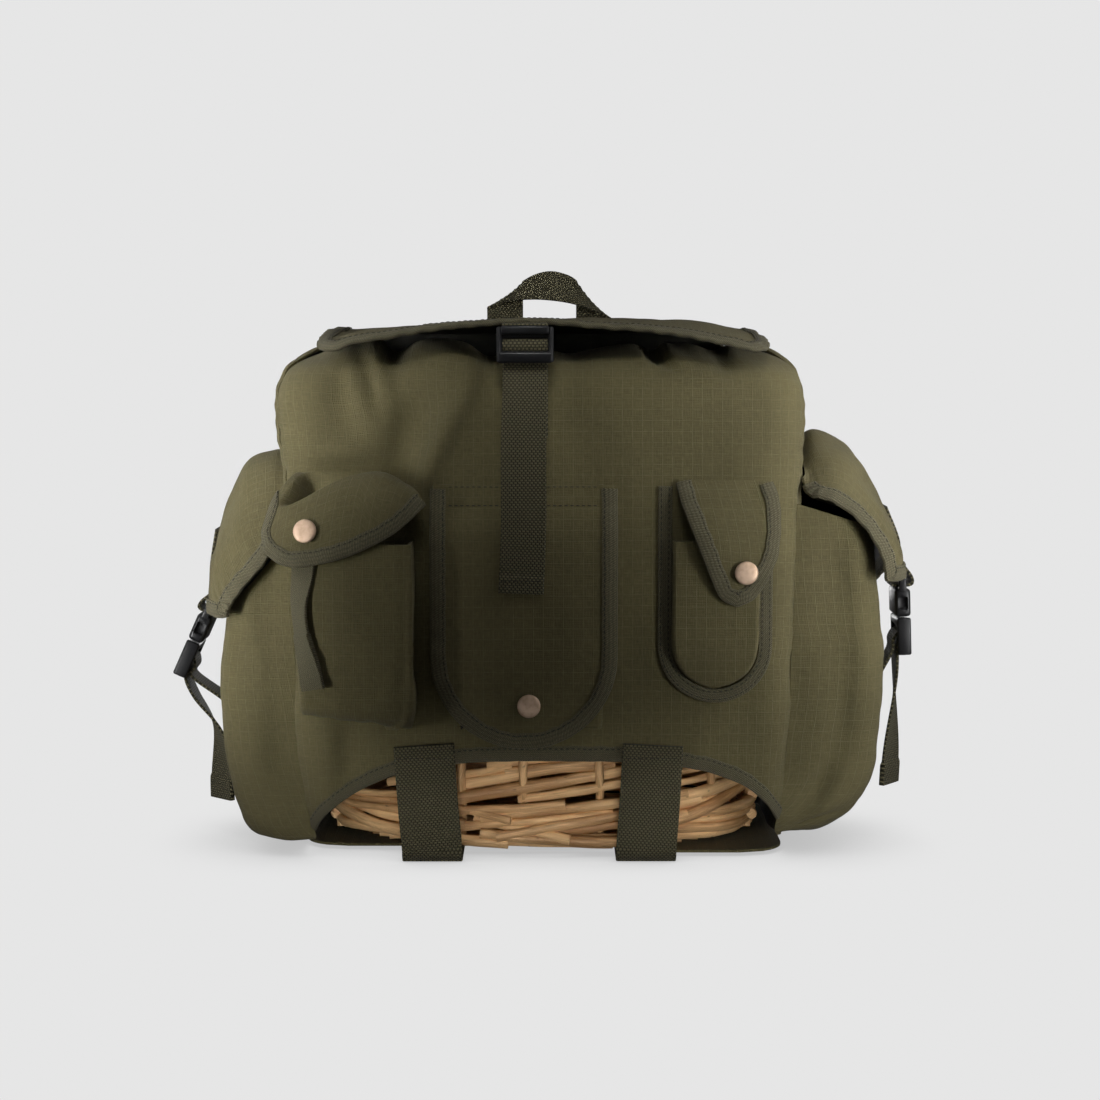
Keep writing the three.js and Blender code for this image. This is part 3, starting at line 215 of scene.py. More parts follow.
# Flat pocket in the middle, and its long flap
CENTRE = {"x": -9, "corner": 2.6}
CENTRE_ROWS = [(86, 44, 3), (92, 46, 5), (150, 46, 6), (214, 46, 5)]
CENTRE_FLAP = {"x": -12, "half": 56.5, "top": 239, "straight": 133, "bottom": 76, "lift": 8.6, "hem": 13}
CENTRE_FLAP_END = {"straight_share": 0.5, "turn": 85, "lift_share": 0.16}
CENTRE_ROW_SHARES = (0.007, 0.061)
CENTRE_SNAP = (0.533, 0.697)

# Knife sheath
SHEATH = {"x": 107.5, "corner": 2.6, "tape_width": 8, "tape_thick": 2.2}
# Rows as for the bellows pocket
SHEATH_ROWS = [(112.4, 4.6, 3), (115, 12.2, 4), (123, 21.6, 6), (138, 26.8, 8), (170, 27, 9), (204, 27, 10)]
SHEATH_TAPE = {"half": 31.5, "bend": 138, "left_top": 238, "right_top": 222, "bend_steps": 24,
               "left_steps": 30, "right_steps": 26, "stitch_at": 0.6}
# Tongue of the flap: height, left edge, right edge, out, and how far the left edge gapes
SHEATH_FLAP_ROWS = [
    (242, 84, 141, 2.1, 0), (230, 87, 145, 9, 2), (214, 93, 146, 14, 6), (196, 100, 144, 15, 6),
    (182, 105.5, 138, 14.5, 3), (170.5, 111, 130.5, 13.5, 1), (165.5, 119.5, 121, 13, 0),
]
SHEATH_SNAP = (0.6, 3.75 / 6)

# Press snap
SNAP = {"radius": 7.3, "post": 3, "low": 1.2, "high": 2.3, "gap": 0.3, "sides": 40, "near": 0.1}
# Its rounded top in steps: inset, rise
SNAP_CROWN = [(0.6, 0.5), (0.7, 0.24), (1.4, 0.14), (1.7, 0.06), (1.4, 0.02)]

# Side pockets and their flaps
SIDE_POCKET = {"y": -14, "corner": 16, "mouth_from": 0.5}
# Pockets have height, half width and depth; flaps, out from the side, height and droop of the edges;
# strap tails, down and inwards
SIDES = {
    "left": {
        "side": -1, "mouth_drop": 44, "flap_tuck": 3, "back_droop": 1.5, "back_drop": 12,
        "tilt": 24, "out": 228, "z": 132,
        "pocket": [
            (8, 60, 3.4), (10, 65, 26), (14, 68, 34.5), (28, 69.5, 39), (60, 70, 43), (100, 70, 45),
            (155, 70, 43), (205, 69, 38),
        ],
        "flap": [(0, 257, 44), (10, 257, 56), (29, 248, 64), (43, 221, 52), (49, 189, 28), (51, 159, 3)],
        "tail": [(12, 5), (38, 20), (82, 22)], "tail_turn": 40,
    },
    "right": {
        "side": 1, "mouth_drop": 14, "flap_tuck": 3, "back_droop": 1.5, "back_drop": 18,
        "tilt": 2, "out": 235, "z": 148,
        "pocket": [
            (13, 60, 3), (15, 65, 20), (22, 68, 33), (34, 69.5, 43), (58, 70, 53), (100, 70, 56),
            (155, 70, 54.5), (226, 69, 46),
        ],
        "flap": [(0, 254, 12), (8, 269, 35), (29, 261, 31), (49, 234, 19), (62, 206, 11), (67, 181, 2)],
        "tail": [(20, 0), (87, 3)], "tail_turn": 32,
    },
}
SIDE_FLAP = {"hinge_front": -79, "front": -91, "hinge_back": 52, "back": 63, "flare_share": 0.4,
             "droop_power": 2, "back_drop_from": 0.4}
BUCKLE = {"width": 33, "webbing": 25, "thick": 4, "plug_middle": -13.5, "side": 3}
PLUG_BARS = [(-11.5, -4.7), (-1.5, 1.5), (4.7, 13)]
ROUND_SOCKET_BAR = [(6.5, 26), (6.5, 21.2), (0, 20.4), (-6.5, 21)]
FLAP_STRAP_SHARES = (0.7, 0.85, 0.97)
BUCKLE_STRAP_SHARES = (0.68, 0.745)
BUCKLE_TAIL_HEM = 14
BUCKLE_TAIL_STRAIGHT = 10
# Blocks of the moulded parts: x, y and z of the middle, width, height, thickness, rounding.
# Those off the middle come in pairs
LOCK_BLOCKS = [
    ("UNION", 0, -7.1, 2.2, 34.5, 7.4, 6, 1.8), ("UNION", 0, 9.6, 4.8, 29.5, 5.4, 3, 1.2),
    ("UNION", 16.05, 0.65, 3, 3, 21.9, 3.4, 1.2),
]
SOCKET_BODY = ((33, 18.2, 10), (0, 9.4, 0), 2.2)
SOCKET_BLOCKS = [
    ("DIFFERENCE", 16.5, 9.3, 0, 7, 8, 6.4, 0.8), ("DIFFERENCE", 0, 1.9, 5, 20, 5, 3, 1.0),
    ("UNION", 14.9, 21, 0, 3.2, 9, 5, 0.8), ("UNION", 0, 23.9, 0, 33, 3.2, 4.4, 1.2),
]
PLUG_BLOCKS = [
    ("UNION", 0, 10, 0, 33, 6, 8.4, 1.8), ("UNION", 0, -8.1, 0.8, 33, 5.8, 5.6, 1.4),
    ("UNION", 14.85, 0.75, 0.4, 3.3, 24.5, 9, 1.3),
]
PLATE_ROUND = 1.0

# Shoulder straps
SHOULDER = {"width": 52, "thick": 10, "end": 14, "end_plump": 0.55, "ripple": 0.03, "ripple_length": 6.5}
SHOULDER_STITCHES = {"at": 0.82, "high": 0.79}
# Middle of the right strap: x, y, z; then its webbing on the back: x, z, lift
SHOULDER_LINE = [
    (76, 96.6, 301), (76, 108, 302), (77, 120, 296), (78, 129, 281), (80, 132.2, 252), (82, 132.4, 215),
    (85, 131, 178), (88, 127, 144), (91, 121, 116),
]
SLIDER = {"x": 92.5, "y": 116.6, "z": 98, "lean": 14, "width": 31, "thick": 4, "side": 3}
SLIDER_BARS = [(-9, -4.7), (-1.5, 1.5), (4.7, 9)]
SHOULDER_WEBBING_WIDTH = 24
SHOULDER_ANCHOR = [(99, 62, 8.2), (105, 42, 0.4), (110, 22, 0)]

STITCH = {"length": 2.5, "pitch": 3.6, "radius": 0.32, "in": 0.2, "sunk": 0.4, "lift": 0.1, "from_hem": 2}
ROW_POINTS = 20
STRAP_STEP = 1.2
HEM_STEP = 1.2
TAPE_EDGE = {"thin": 0.75, "round": 0.5, "crown": 0.15}
POUCH_ROUNDING = 0.9

# Relief of the cloth
SMALL_STEP = 1e-3
# A tape's inner edge keeps the places where it runs forward with the outer edge by this share at least
TAPE_FORWARD = 0.25
# Share of a flap over which the tape's leg behind it reaches its full depth
TAPE_DEPTH_SHARE = 0.2
# Uneven waves: height, length, sway and its length
RIM_PLEATS = (0.9, 6.1, 1.7, 17)
RIM_PLEATS_FROM = 0.8
POCKET_TUCKS = (2.6, 9, 1.2, 21)
TAPE_RIPPLE = (0.25, 2.3, 1.4, 7.1)
# How far seams and hems sink, and their reach
SEAM_ROLL = (1.3, 3)
BACK_SEAM_ROLL = (2.2, 4)
CENTRE_HEM_ROLL = (0.9, 1.6)
CENTRE_EDGE_ROLL = (-0.4, 14)
BACK_SINK = 0.6
SEAM_MEASURED_AT = 180
CLOTH_WIDTH = {"side": 190, "back": 320, "side_pocket": 220}
# Flaps: width and length for the gathers along the edge, and the share that the hinge keeps even
FLAPS = {
    "lid": (280, 195, 0.1), "bellows_flap": (100, 70, 0.3), "centre_flap": (113, 160, 0.2),
    "sheath_flap": (50, 80, 0.2), "side_flap": (150, 130, 0.15),
}
# Unevenness, coarse and fine: size, height, seed of the noise
CRUMPLES = {
    "front": [(70, 1.4, 1), (24, 0.45, 2)], "side": [(60, 2.0, 3), (22, 0.5, 4)], "back": [(80, 1.0, 5)],
    "lid": [(75, 2.2, 6)], "bellows": [(40, 1.3, 8), (16, 0.4, 9)], "bellows_flap": [(34, 1.1, 10)],
    "centre": [(40, 0.6, 11)], "centre_flap": [(50, 1.2, 12)], "sheath": [(36, 0.7, 13)],
    "sheath_flap": [(36, 1.0, 14)], "side_pocket": [(55, 2.6, 15), (20, 0.6, 16)],
    "side_flap": [(45, 2.0, 17)],
}
NOISE_SHIFT = (3.7, 1.3, 2.9)
# Falloff, step and number of octaves
NOISE_OCTAVES = (1.0, 2.0, 3)
# Gathers beside a seam: height, pitch, reach
GATHERS = {
    "front": (0.5, 13, 12), "hem": (0.35, 15, 10), "side": (0.5, 13, 12), "back": (0.4, 13, 12),
    "lid": (0.4, 14, 12), "bellows": (0.8, 14, 18), "bellows_flap": (0.3, 12, 8),
    "centre_flap": (0.35, 13, 9), "sheath_flap": (0.3, 12, 8), "side_pocket": (0.5, 13, 10),
    "side_flap": (0.35, 13, 9),
}
GATHER_SWAY = (1.9, 1.7)
BELLOWS_RIDGE = {"at": 0.525, "half": 67, "height": 2.4, "width": 2.2}
BELLOWS_TALL = 120
POCKET_TUCK_FADE = {"tall": 120, "reach": 26}
POCKET_FRONT = (35, 65)
POCKET_HELD = 20


# Reading tables and surfaces


def follow(rows, column, at):
    """Reads a column of a table between its rows, on a smooth curve through them."""
    table = np.array(rows, float)
    keys, values = table[:, 0], table[:, column]
    last = len(keys) - 1
    above = np.minimum(np.arange(last + 1) + 1, last)
    below = np.maximum(np.arange(last + 1) - 1, 0)
    slope = (values[above] - values[below]) / (keys[above] - keys[below])
    i = np.clip(np.searchsorted(keys, at, side="right") - 1, 0, last - 1)
    span = keys[i + 1] - keys[i]
    t = np.clip((at - keys[i]) / span, 0, 1)
    ends = (2 * t**3 - 3 * t**2 + 1) * values[i] + (3 * t**2 - 2 * t**3) * values[i + 1]
    return ends + span * ((t**3 - 2 * t**2 + t) * slope[i] + (t**3 - t**2) * slope[i + 1])


def follow_rows(rows, column, share):
    """Reads a column by the row's number, from 0 at the first row to 1 at the last."""
    numbered = [(k, *row) for k, row in enumerate(rows)]
    return follow(numbered, column + 1, share * (len(rows) - 1))


def smooth(at, low, high):
    t = np.clip((at - low) / (high - low), 0, 1)
    return t * t * (3 - 2 * t)


def mix(a, b, share):
    return a + (b - a) * share


def stack(x, y, z):
    return np.stack(np.broadcast_arrays(x, y, z), axis=-1).astype(float)


def unit(vectors):
    return vectors / np.maximum(np.linalg.norm(vectors, axis=-1, keepdims=True), 1e-9)


def fold_height(folds, x, z):
    total = np.zeros(np.broadcast(x, z).shape)
    for fold_x, fold_z, length, width, height, lean in folds:
        turn = math.radians(lean)
        along = ((x - fold_x) * math.sin(turn) + (z - fold_z) * math.cos(turn)) / length
        across = ((x - fold_x) * math.cos(turn) - (z - fold_z) * math.sin(turn)) / width
        total = total + height * np.exp(-along * along - across * across)
    return total


def corner_inset(half, corner, along):
    turn = np.arcsin(np.clip((np.abs(along) - half + corner) / corner, 0, 1))
    return corner * (1 - np.cos(turn))


def section(column, z):
    return follow(BODY, column, z)


def on_front(x, z, out):
    inset = corner_inset(section(HALF, z), section(CORNER, z), x)
    return stack(x, section(FRONT, z) + inset - fold_height(FRONT_FOLDS, x, z) - out, z)


def on_side(side, y, z, out):
    front, back = section(FRONT, z), section(BACK, z)
    inset = corner_inset((back - front) / 2, section(CORNER, z), y - (front + back) / 2)
    return stack(side * (section(HALF, z) - inset + out), y, z)


def front_seam_turn(z):
    degrees = mix(FRONT_SEAM["low"], FRONT_SEAM["high"], smooth(z, FRONT_SEAM["from"], FRONT_SEAM["to"]))
    return np.radians(degrees)


def along_panel(half, corner, s, seam_turn=math.pi / 4):
    flat = half - corner
    distance = np.abs(s) * SEAM_SHARE * (flat + corner * seam_turn)
    turn = np.maximum(0, distance - flat) / corner
    return np.sign(s) * (np.minimum(distance, flat) + corner * np.sin(turn))


def front_hem(x):
    t = np.minimum(1, np.abs(x - WINDOW["middle"]) / WINDOW["half"])
    arch = WINDOW["crown"] - (WINDOW["crown"] - WINDOW["foot"]) * t ** WINDOW["power"]
    return arch - WINDOW["right_drop"] * smooth(x, WINDOW["drop_from"], WINDOW["drop_to"])


def panel_height(hem, top, v):
    return mix(hem, top, 1 - (1 - v) ** TOP_CROWDING)


def front_share(u):
    s = 2 * u - 1
    return mix(s, np.sin(s * math.pi / 2), CORNER_CROWDING)


def swell(points):
    """Pushes the upper left corner out to the left."""
    near = np.exp(-(((points[:, 2] - LEFT_SWELL["z"]) / LEFT_SWELL["reach"]) ** 2))
    points[:, 0] -= LEFT_SWELL["out"] * near * smooth(-points[:, 0], LEFT_SWELL["from"], LEFT_SWELL["to"])
    return points


def front_panel_place(u, v):
    s = front_share(u)
    crown = WINDOW["crown"]
    hem_x = along_panel(section(HALF, crown), section(CORNER, crown), s)
    z = panel_height(front_hem(hem_x), BODY_TOP, v)
    points = on_front(along_panel(section(HALF, z), section(CORNER, z), s, front_seam_turn(z)), z, 0)
    points[:, 2] += follow(RIM_RISE, 1, points[:, 0]) * smooth(z, RIM_START, BODY_TOP)
    return swell(points)


def side_panel_place(side, u, v):
    s = (2 * u - 1) * side
    hem = mix(WINDOW["foot"], HEM, smooth(s, -1, 0))
    z = panel_height(hem, BODY_TOP, v)
    front, back = section(FRONT, z), section(BACK, z)
    seam_turn = np.where(s < 0, math.pi / 2 - front_seam_turn(z), math.pi / 4)
    y = (front + back) / 2 + along_panel((back - front) / 2, section(CORNER, z), s, seam_turn)
    return swell(on_side(side, y, z, 0))


def back_panel_place(u, v):
    z = panel_height(HEM, BACK_TOP, v)
    half, corner = section(HALF, z), section(CORNER, z)
    x = -along_panel(half, corner, 2 * u - 1)
    return swell(stack(x, section(BACK, z) - corner_inset(half, corner, x), z))


def base_panel_place(u, v):
    half, front, back = BASE_PANEL["half"], BASE_PANEL["front"], BASE_PANEL["back"]
    y = mix(front, back, v)
    tucked = 1 - smooth((2 * u - 1) * half, BASE_PANEL["tuck_from"], BASE_PANEL["tuck_to"])
    y_back = BASE_PANEL["tuck"] * tucked * (1 - v)
    from_front = np.clip((BASE_PANEL["front_radius"] - (y - front)) / BASE_PANEL["front_radius"], 0, 1)
    from_back = np.clip((BASE_PANEL["back_radius"] - (back - y)) / BASE_PANEL["back_radius"], 0, 1)
    inset = BASE_PANEL["front_radius"] * (1 - np.sqrt(1 - from_front**2))
    inset = inset + BASE_PANEL["back_radius"] * (1 - np.sqrt(1 - from_back**2))
    return stack((2 * u - 1) * (half - inset), y + y_back, BASE_PANEL["top"])


def lid_place(u, v):
    y = mix(LID["back"], LID["front"], v)
    from_edge = np.minimum(LID["corner"], y - LID["front"])
    rounding = LID["corner"] ** 2 - (LID["corner"] - from_edge) ** 2 * LID["corner_share"]
    wide = LID["half"] - LID["corner"] + np.sqrt(rounding)
    s = 2 * u - 1
    droop = follow(LID_PROFILE, 2, v) * np.abs(s) ** LID["droop_power"]
    sag = follow(LID_SAG, 1, s * wide) * np.sin(math.pi * v)
    sag = sag + follow(LID_SAG, 2, s * wide) * smooth(v, LID["sag_from"], 1)
    return stack(s * wide, y, follow(LID_PROFILE, 1, v) - droop + sag)


def pouch_step(half, depth, corner, s):
    radius = np.minimum(corner, depth * POUCH_ROUNDING)
    flat, side, arc = half - radius, depth - radius, radius * math.pi / 2
    distance = np.abs(s) * (flat + arc + side)
    turn = np.clip((distance - flat) / radius, 0, math.pi / 2)
    along = np.minimum(distance, flat) + radius * np.sin(turn)
    back = radius * (1 - np.cos(turn)) + np.maximum(0, distance - flat - arc)
    return np.sign(s) * along, depth - back


def front_pouch_place(rows, pouch, u, v):
    along, out = pouch_step(follow_rows(rows, 1, v), follow_rows(rows, 2, v), pouch["corner"], 2 * u - 1)
    z = follow_rows(rows, 0, v) - pouch.get("slope", 0) * along * (1 - v)
    return on_front(pouch["x"] + along, z, pouch.get("lift", SEAM) + out)


def bellows_flap_place(u, v):
    hinge_x = mix(BELLOWS_HINGE["left"], BELLOWS_HINGE["right"], u)
    hinge = on_front(hinge_x, follow(BELLOWS_LIP, 4, u), BELLOWS_HINGE["out"])
    edge = stack(follow(BELLOWS_LIP, 1, u), follow(BELLOWS_LIP, 2, u), follow(BELLOWS_LIP, 3, u))
    shoulder_x = (hinge[:, 0] + edge[:, 0]) / 2
    shoulder_z = hinge[:, 2] + follow(BELLOWS_SHOULDER, 1, u)
    shoulder = stack(shoulder_x, edge[:, 1] + BELLOWS_SHOULDER_IN, shoulder_z)
    t = v[:, None]
    return hinge * (1 - t) ** 2 + shoulder * 2 * t * (1 - t) + edge * t * t


def centre_flap_place(u, v):
    flap, end = CENTRE_FLAP, CENTRE_FLAP_END
    end_turn = math.radians(end["turn"])
    turn = end_turn * np.clip((v - end["straight_share"]) / (1 - end["straight_share"]), 0, 1)
    upper = mix(flap["top"], flap["straight"], np.minimum(1, v / end["straight_share"]))
    z = upper - (flap["straight"] - flap["bottom"]) * np.sin(turn) / math.sin(end_turn)
    out = SEAM + CANVAS + flap["lift"] * smooth(v, 0, end["lift_share"])
    return on_front(flap["x"] + (2 * u - 1) * flap["half"] * np.cos(turn), z, out)


def sheath_flap_place(u, v):
    left, right = follow_rows(SHEATH_FLAP_ROWS, 1, v), follow_rows(SHEATH_FLAP_ROWS, 2, v)
    out = follow_rows(SHEATH_FLAP_ROWS, 3, v) + follow_rows(SHEATH_FLAP_ROWS, 4, v) * (0.5 - u)
    return on_front(mix(left, right, u), follow_rows(SHEATH_FLAP_ROWS, 0, v), out)


def side_pocket_place(setup, u, v):
    depth = follow_rows(setup["pocket"], 2, v)
    half = follow_rows(setup["pocket"], 1, v)
    along, out = pouch_step(half, depth, SIDE_POCKET["corner"], (2 * u - 1) * setup["side"])
    drop = setup["mouth_drop"] * (out / depth) * smooth(v, SIDE_POCKET["mouth_from"], 1)
    z = follow_rows(setup["pocket"], 0, v) - drop
    return on_side(setup["side"], SIDE_POCKET["y"] + along, z, SEAM + out)


def side_flap_place(setup, u, v):
    flare = smooth(v, 0, SIDE_FLAP["flare_share"])
    front = mix(SIDE_FLAP["hinge_front"], SIDE_FLAP["front"], flare)
    back = mix(SIDE_FLAP["hinge_back"], SIDE_FLAP["back"], flare)
    edge = np.abs(2 * u - 1) ** SIDE_FLAP["droop_power"]
    back_edge = np.where(u > 0.5, 1, 0)
    droop = follow_rows(setup["flap"], 2, v) * mix(1, setup["back_droop"], back_edge)
    droop = droop + setup["back_drop"] * smooth(v, SIDE_FLAP["back_drop_from"], 1) * back_edge
    out = SEAM + CANVAS + follow_rows(setup["flap"], 0, v) - setup["flap_tuck"] * edge * v
    return on_side(setup["side"], mix(front, back, u), follow_rows(setup["flap"], 1, v) - droop * edge, out)


def basket_place(turn, height, out):
    reach = mix(BASKET["foot"], BASKET["rim"], height / BASKET["height"]) + out
    deep = reach * BASKET["depth"] + out * (1 - BASKET["depth"])
    cos, sin = np.cos(turn), np.sin(turn)
    power = 2 / BASKET["square"]
    x = reach * np.sign(cos) * np.abs(cos) ** power
    y = deep * np.sign(sin) * np.abs(sin) ** power
    return stack(x, y, HEM + height)


def basket_front(x, z, out):
    reach = mix(BASKET["foot"], BASKET["rim"], (z - HEM) / BASKET["height"]) + out
    deep = reach * BASKET["depth"] + out * (1 - BASKET["depth"])
    share = np.clip(np.abs(x) / reach, 0, 0.999)
    return stack(x, -deep * (1 - share ** BASKET["square"]) ** (1 / BASKET["square"]), z)


def surface_normals(place, u, v):
    step = SMALL_STEP
    along = place(np.minimum(1, u + step), v) - place(np.maximum(0, u - step), v)
    up = place(u, np.minimum(1, v + step)) - place(u, np.maximum(0, v - step))
    return unit(np.cross(along, up))


def crumple(points, cloth):
    """Gentle unevenness of a cloth, the same at each run."""
    total = np.zeros(len(points))
    for size, height, seed in CRUMPLES[cloth]:
        shift = Vector([seed * step for step in NOISE_SHIFT])
        rough = [noise.fractal(Vector(p) / size + shift, *NOISE_OCTAVES) for p in points]
        total = total + height * np.array(rough)
    return total


def pucker(distance, along, seam):
    """Small gathers beside a line of stitches."""
    height, pitch, reach = GATHERS[seam]
    sway, sway_pitch = GATHER_SWAY
    gather = np.sin(2 * math.pi * along / pitch + sway * np.sin(along / (pitch * sway_pitch)))
    return height * gather * np.exp(-distance / reach)


def uneven_waves(at, height, length, sway, sway_length):
    return height * np.sin(at / length + sway * np.sin(at / sway_length))


def from_sides(u, wide):
    return np.minimum(u, 1 - u) * wide


def from_free_edge(flap, u, v):
    """Distance from the nearest free edge of a flap."""
    wide, long, _ = FLAPS[flap]
    return np.minimum(from_sides(u, wide), (1 - v) * long)


def flap_softness(flap, points, v):
    """Unevenness of a flap, which its hinge keeps even."""
    return crumple(points, flap) * smooth(v, 0, FLAPS[flap][2])


def seam_roll(distance, depth, reach):
    return -depth * np.exp(-((distance / reach) ** 2))


# Making meshes


def clear_selection():
    bpy.ops.object.select_all(action="DESELECT")


def start_editing():
    bpy.ops.object.mode_set(mode="EDIT")
    bpy.ops.mesh.select_all(action="SELECT")


def stop_editing():
    bpy.ops.object.mode_set(mode="OBJECT")


def make_active(piece):
    clear_selection()
    piece.select_set(True)
    bpy.context.view_layer.objects.active = piece


def apply_modifier(piece, name):
    make_active(piece)
    bpy.ops.object.modifier_apply(modifier=name)


def set_points(piece, points):
    piece.data.vertices.foreach_set("co", (np.asarray(points) * MM).ravel())
    piece.data.update()


def get_points(piece):
    flat = np.empty(len(piece.data.vertices) * 3)
    piece.data.vertices.foreach_get("co", flat)
    return flat.reshape(-1, 3)


def start_grid(columns, rows):
    """A flat grid, with each point's column and row."""
    clear_selection()
    bpy.ops.mesh.primitive_grid_add(x_subdivisions=columns, y_subdivisions=rows, size=2)
    piece = bpy.context.object
    flat = get_points(piece)
    column = np.rint((flat[:, 0] + 1) / 2 * columns).astype(int)
    row = np.rint((flat[:, 1] + 1) / 2 * rows).astype(int)
    return piece, column, row


def set_cut(piece, per_point):
    """Lays the cloth's own flat coordinates, in metres, on the mesh."""
    layer = piece.data.uv_layers.active
    corners = np.empty(len(piece.data.loops), dtype=np.int32)
    piece.data.loops.foreach_get("vertex_index", corners)
    layer.data.foreach_set("uv", (per_point[corners] * MM).ravel())


def cut_lengths(points, column, row, start):
    """Distance along the cloth from its middle column, and up from its first row."""
    grid = np.empty((row.max() + 1, column.max() + 1, 3))
    grid[row, column] = points
    along = np.zeros(grid.shape[:2])
    along[:, 1:] = np.cumsum(np.linalg.norm(np.diff(grid, axis=1), axis=2), axis=1)
    along -= along[:, [along.shape[1] // 2]]
    up = np.zeros(grid.shape[:2])
    up[1:] = np.cumsum(np.linalg.norm(np.diff(grid, axis=0), axis=2), axis=0)
    if start is not None:
        up += start(grid[0])[None, :]
    return np.stack([along[row, column], up[row, column]], axis=-1)


def give_finish(piece, name, finishes):
    piece.name = name
    piece.data.name = name
    piece.data.materials.clear()
    for finish in finishes:
        piece.data.materials.append(FINISH[finish])


def carry(piece, *nodes):
    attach(piece, BODY_NAME)
    if nodes:
        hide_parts(*nodes)


def soften(piece, angle=40):
    make_active(piece)
    bpy.ops.object.shade_smooth_by_angle(angle=math.radians(angle))


def lay_cloth(name, place, columns, rows, facing=1, relief=None, start=None, flat_on=None, level=False):
    """A cloth wall: a grid laid on a surface, shaped by its relief, and thickened inwards."""
    piece, column, row = start_grid(columns, rows)
    give_finish(piece, name, ("canvas", "lining"))
    u, v = column / columns, row / rows
    u = u if facing > 0 else 1 - u
    points = place(u, v)
    if relief is not None:
        points = points + facing * surface_normals(place, u, v) * relief(points, u, v)[:, None]
    set_points(piece, points)
    cut = points[:, flat_on] if flat_on else cut_lengths(points, column, row, start)
    if level:
        cut[:, 1] = points[:, 2]
    set_cut(piece, cut)
    shell = piece.modifiers.new("cloth", "SOLIDIFY")
    shell.thickness = CANVAS * MM
    shell.offset = -1
    shell.material_offset = 1
    apply_modifier(piece, "cloth")
    soften(piece, 60)
    carry(piece, name)
    return piece


def join_rings(name, finish, rings, around, lengthwise):
    """A closed tube through rings of points, with its own flat coordinates."""
    count = rings.shape[1]
    piece, column, row = start_grid(count, len(rings) - 1)
    give_finish(piece, name, (finish,))
    set_points(piece, rings[row, column % count])
    set_cut(piece, np.stack([np.append(around, around[0])[column], lengthwise[row]], axis=-1))
    make_active(piece)
    start_editing()
    bpy.ops.mesh.remove_doubles(threshold=1e-6)
    bpy.ops.mesh.fill_holes(sides=0)
    bpy.ops.mesh.select_all(action="SELECT")
    bpy.ops.mesh.normals_make_consistent(inside=False)
    stop_editing()
    soften(piece)
    return piece


def lengths_along(line):
    return np.concatenate([[0], np.cumsum(np.linalg.norm(np.diff(line, axis=0), axis=1))])


def read_line(line, reach, at):
    """Points of a line at distances along it."""
    return np.stack([np.interp(at, reach, line[:, k]) for k in range(3)], axis=-1)


def smooth_line(points, step=1.5):
    """Points close together on a smooth curve through the given ones."""
    points = np.array(points, float)
    gaps = np.sqrt(np.linalg.norm(np.diff(points, axis=0), axis=1))
    knots = np.concatenate([[0], np.cumsum(gaps)])
    table = np.column_stack([knots, points])
    dense = np.linspace(0, knots[-1], 40 * len(points))
    fine = np.stack([follow(table, k + 1, dense) for k in range(3)], axis=-1)
    reach = lengths_along(fine)
    even = np.linspace(0, reach[-1], max(4, int(reach[-1] / step)))
    return read_line(fine, reach, even)


# A strap's section: across and out, as shares of its half width and half thickness
STRAP_SECTION = [
    (-0.96, 1), (-0.5, 1.05), (0, 1.05), (0.5, 1.05), (0.96, 1), (1, 0.45), (1, -0.45), (0.96, -1),
    (0.5, -1.05), (0, -1.05), (-0.5, -1.05), (-0.96, -1), (-1, -0.45), (-1, 0.45),
]


def lay_strap(name, line, across, width, thick=WEBBING, hem=0, first_hem=0, finish="webbing"):
    """A webbing strap along a line, with a folded hem at its end where it has one."""
    tangent = unit(np.gradient(line, axis=0))
    across = np.broadcast_to(np.asarray(across, float), line.shape)
    across = unit(across - tangent * np.sum(across * tangent, axis=1, keepdims=True))
    normal = np.cross(across, tangent)
    reach = lengths_along(line)
    layers = np.ones(len(line))
    if hem:
        layers += smooth(reach, reach[-1] - hem - HEM_STEP, reach[-1] - hem)
    if first_hem:
        layers += 1 - smooth(reach, first_hem, first_hem + HEM_STEP)
    a, b = np.array(STRAP_SECTION).T
    rings = line[:, None] + across[:, None] * (a * width / 2)[None, :, None]
    rings = rings + normal[:, None] * (layers[:, None] * b * thick / 2)[:, :, None]
    piece = join_rings(name, finish, rings, a * width / 2, reach)
    carry(piece, name)
    return piece


def slopes(place, u, v):
    step = SMALL_STEP
    low_u, high_u = np.maximum(0, u - step), np.minimum(1, u + step)
    low_v, high_v = np.maximum(0, v - step), np.minimum(1, v + step)
    along_u = (place(high_u, v) - place(low_u, v)) / (high_u - low_u)[:, None]
    along_v = (place(u, high_v) - place(u, low_v)) / (high_v - low_v)[:, None]
    return along_u, along_v


def nearest_on(place, goals):
    """The shares across and down a surface at which it comes nearest to each goal."""
    columns, rows, rounds, damping, stride = 121, 161, 6, 1e-3, 0.01
    across, down = np.meshgrid(np.linspace(0, 1, columns), np.linspace(0, 1, rows))
    across, down = across.ravel(), down.ravel()
    tree = kdtree.KDTree(len(across))
    for k, point in enumerate(place(across, down)):
        tree.insert(point, k)
    tree.balance()
    found = [tree.find(goal)[1] for goal in goals]
    u, v = across[found], down[found]
    for _ in range(rounds):
        along_u, along_v = slopes(place, u, v)
        miss = goals - place(u, v)
        a, c = np.sum(along_u**2, axis=1), np.sum(along_v**2, axis=1)
        b = np.sum(along_u * along_v, axis=1)
        p, q = np.sum(along_u * miss, axis=1), np.sum(along_v * miss, axis=1)
        spread = a * c - b * b + damping * a * c
        u = np.clip(u + np.clip((p * c - q * b) / spread, -stride, stride), 0, 1)
        v = np.clip(v + np.clip((q * a - p * b) / spread, -stride, stride), 0, 1)
    return u, v


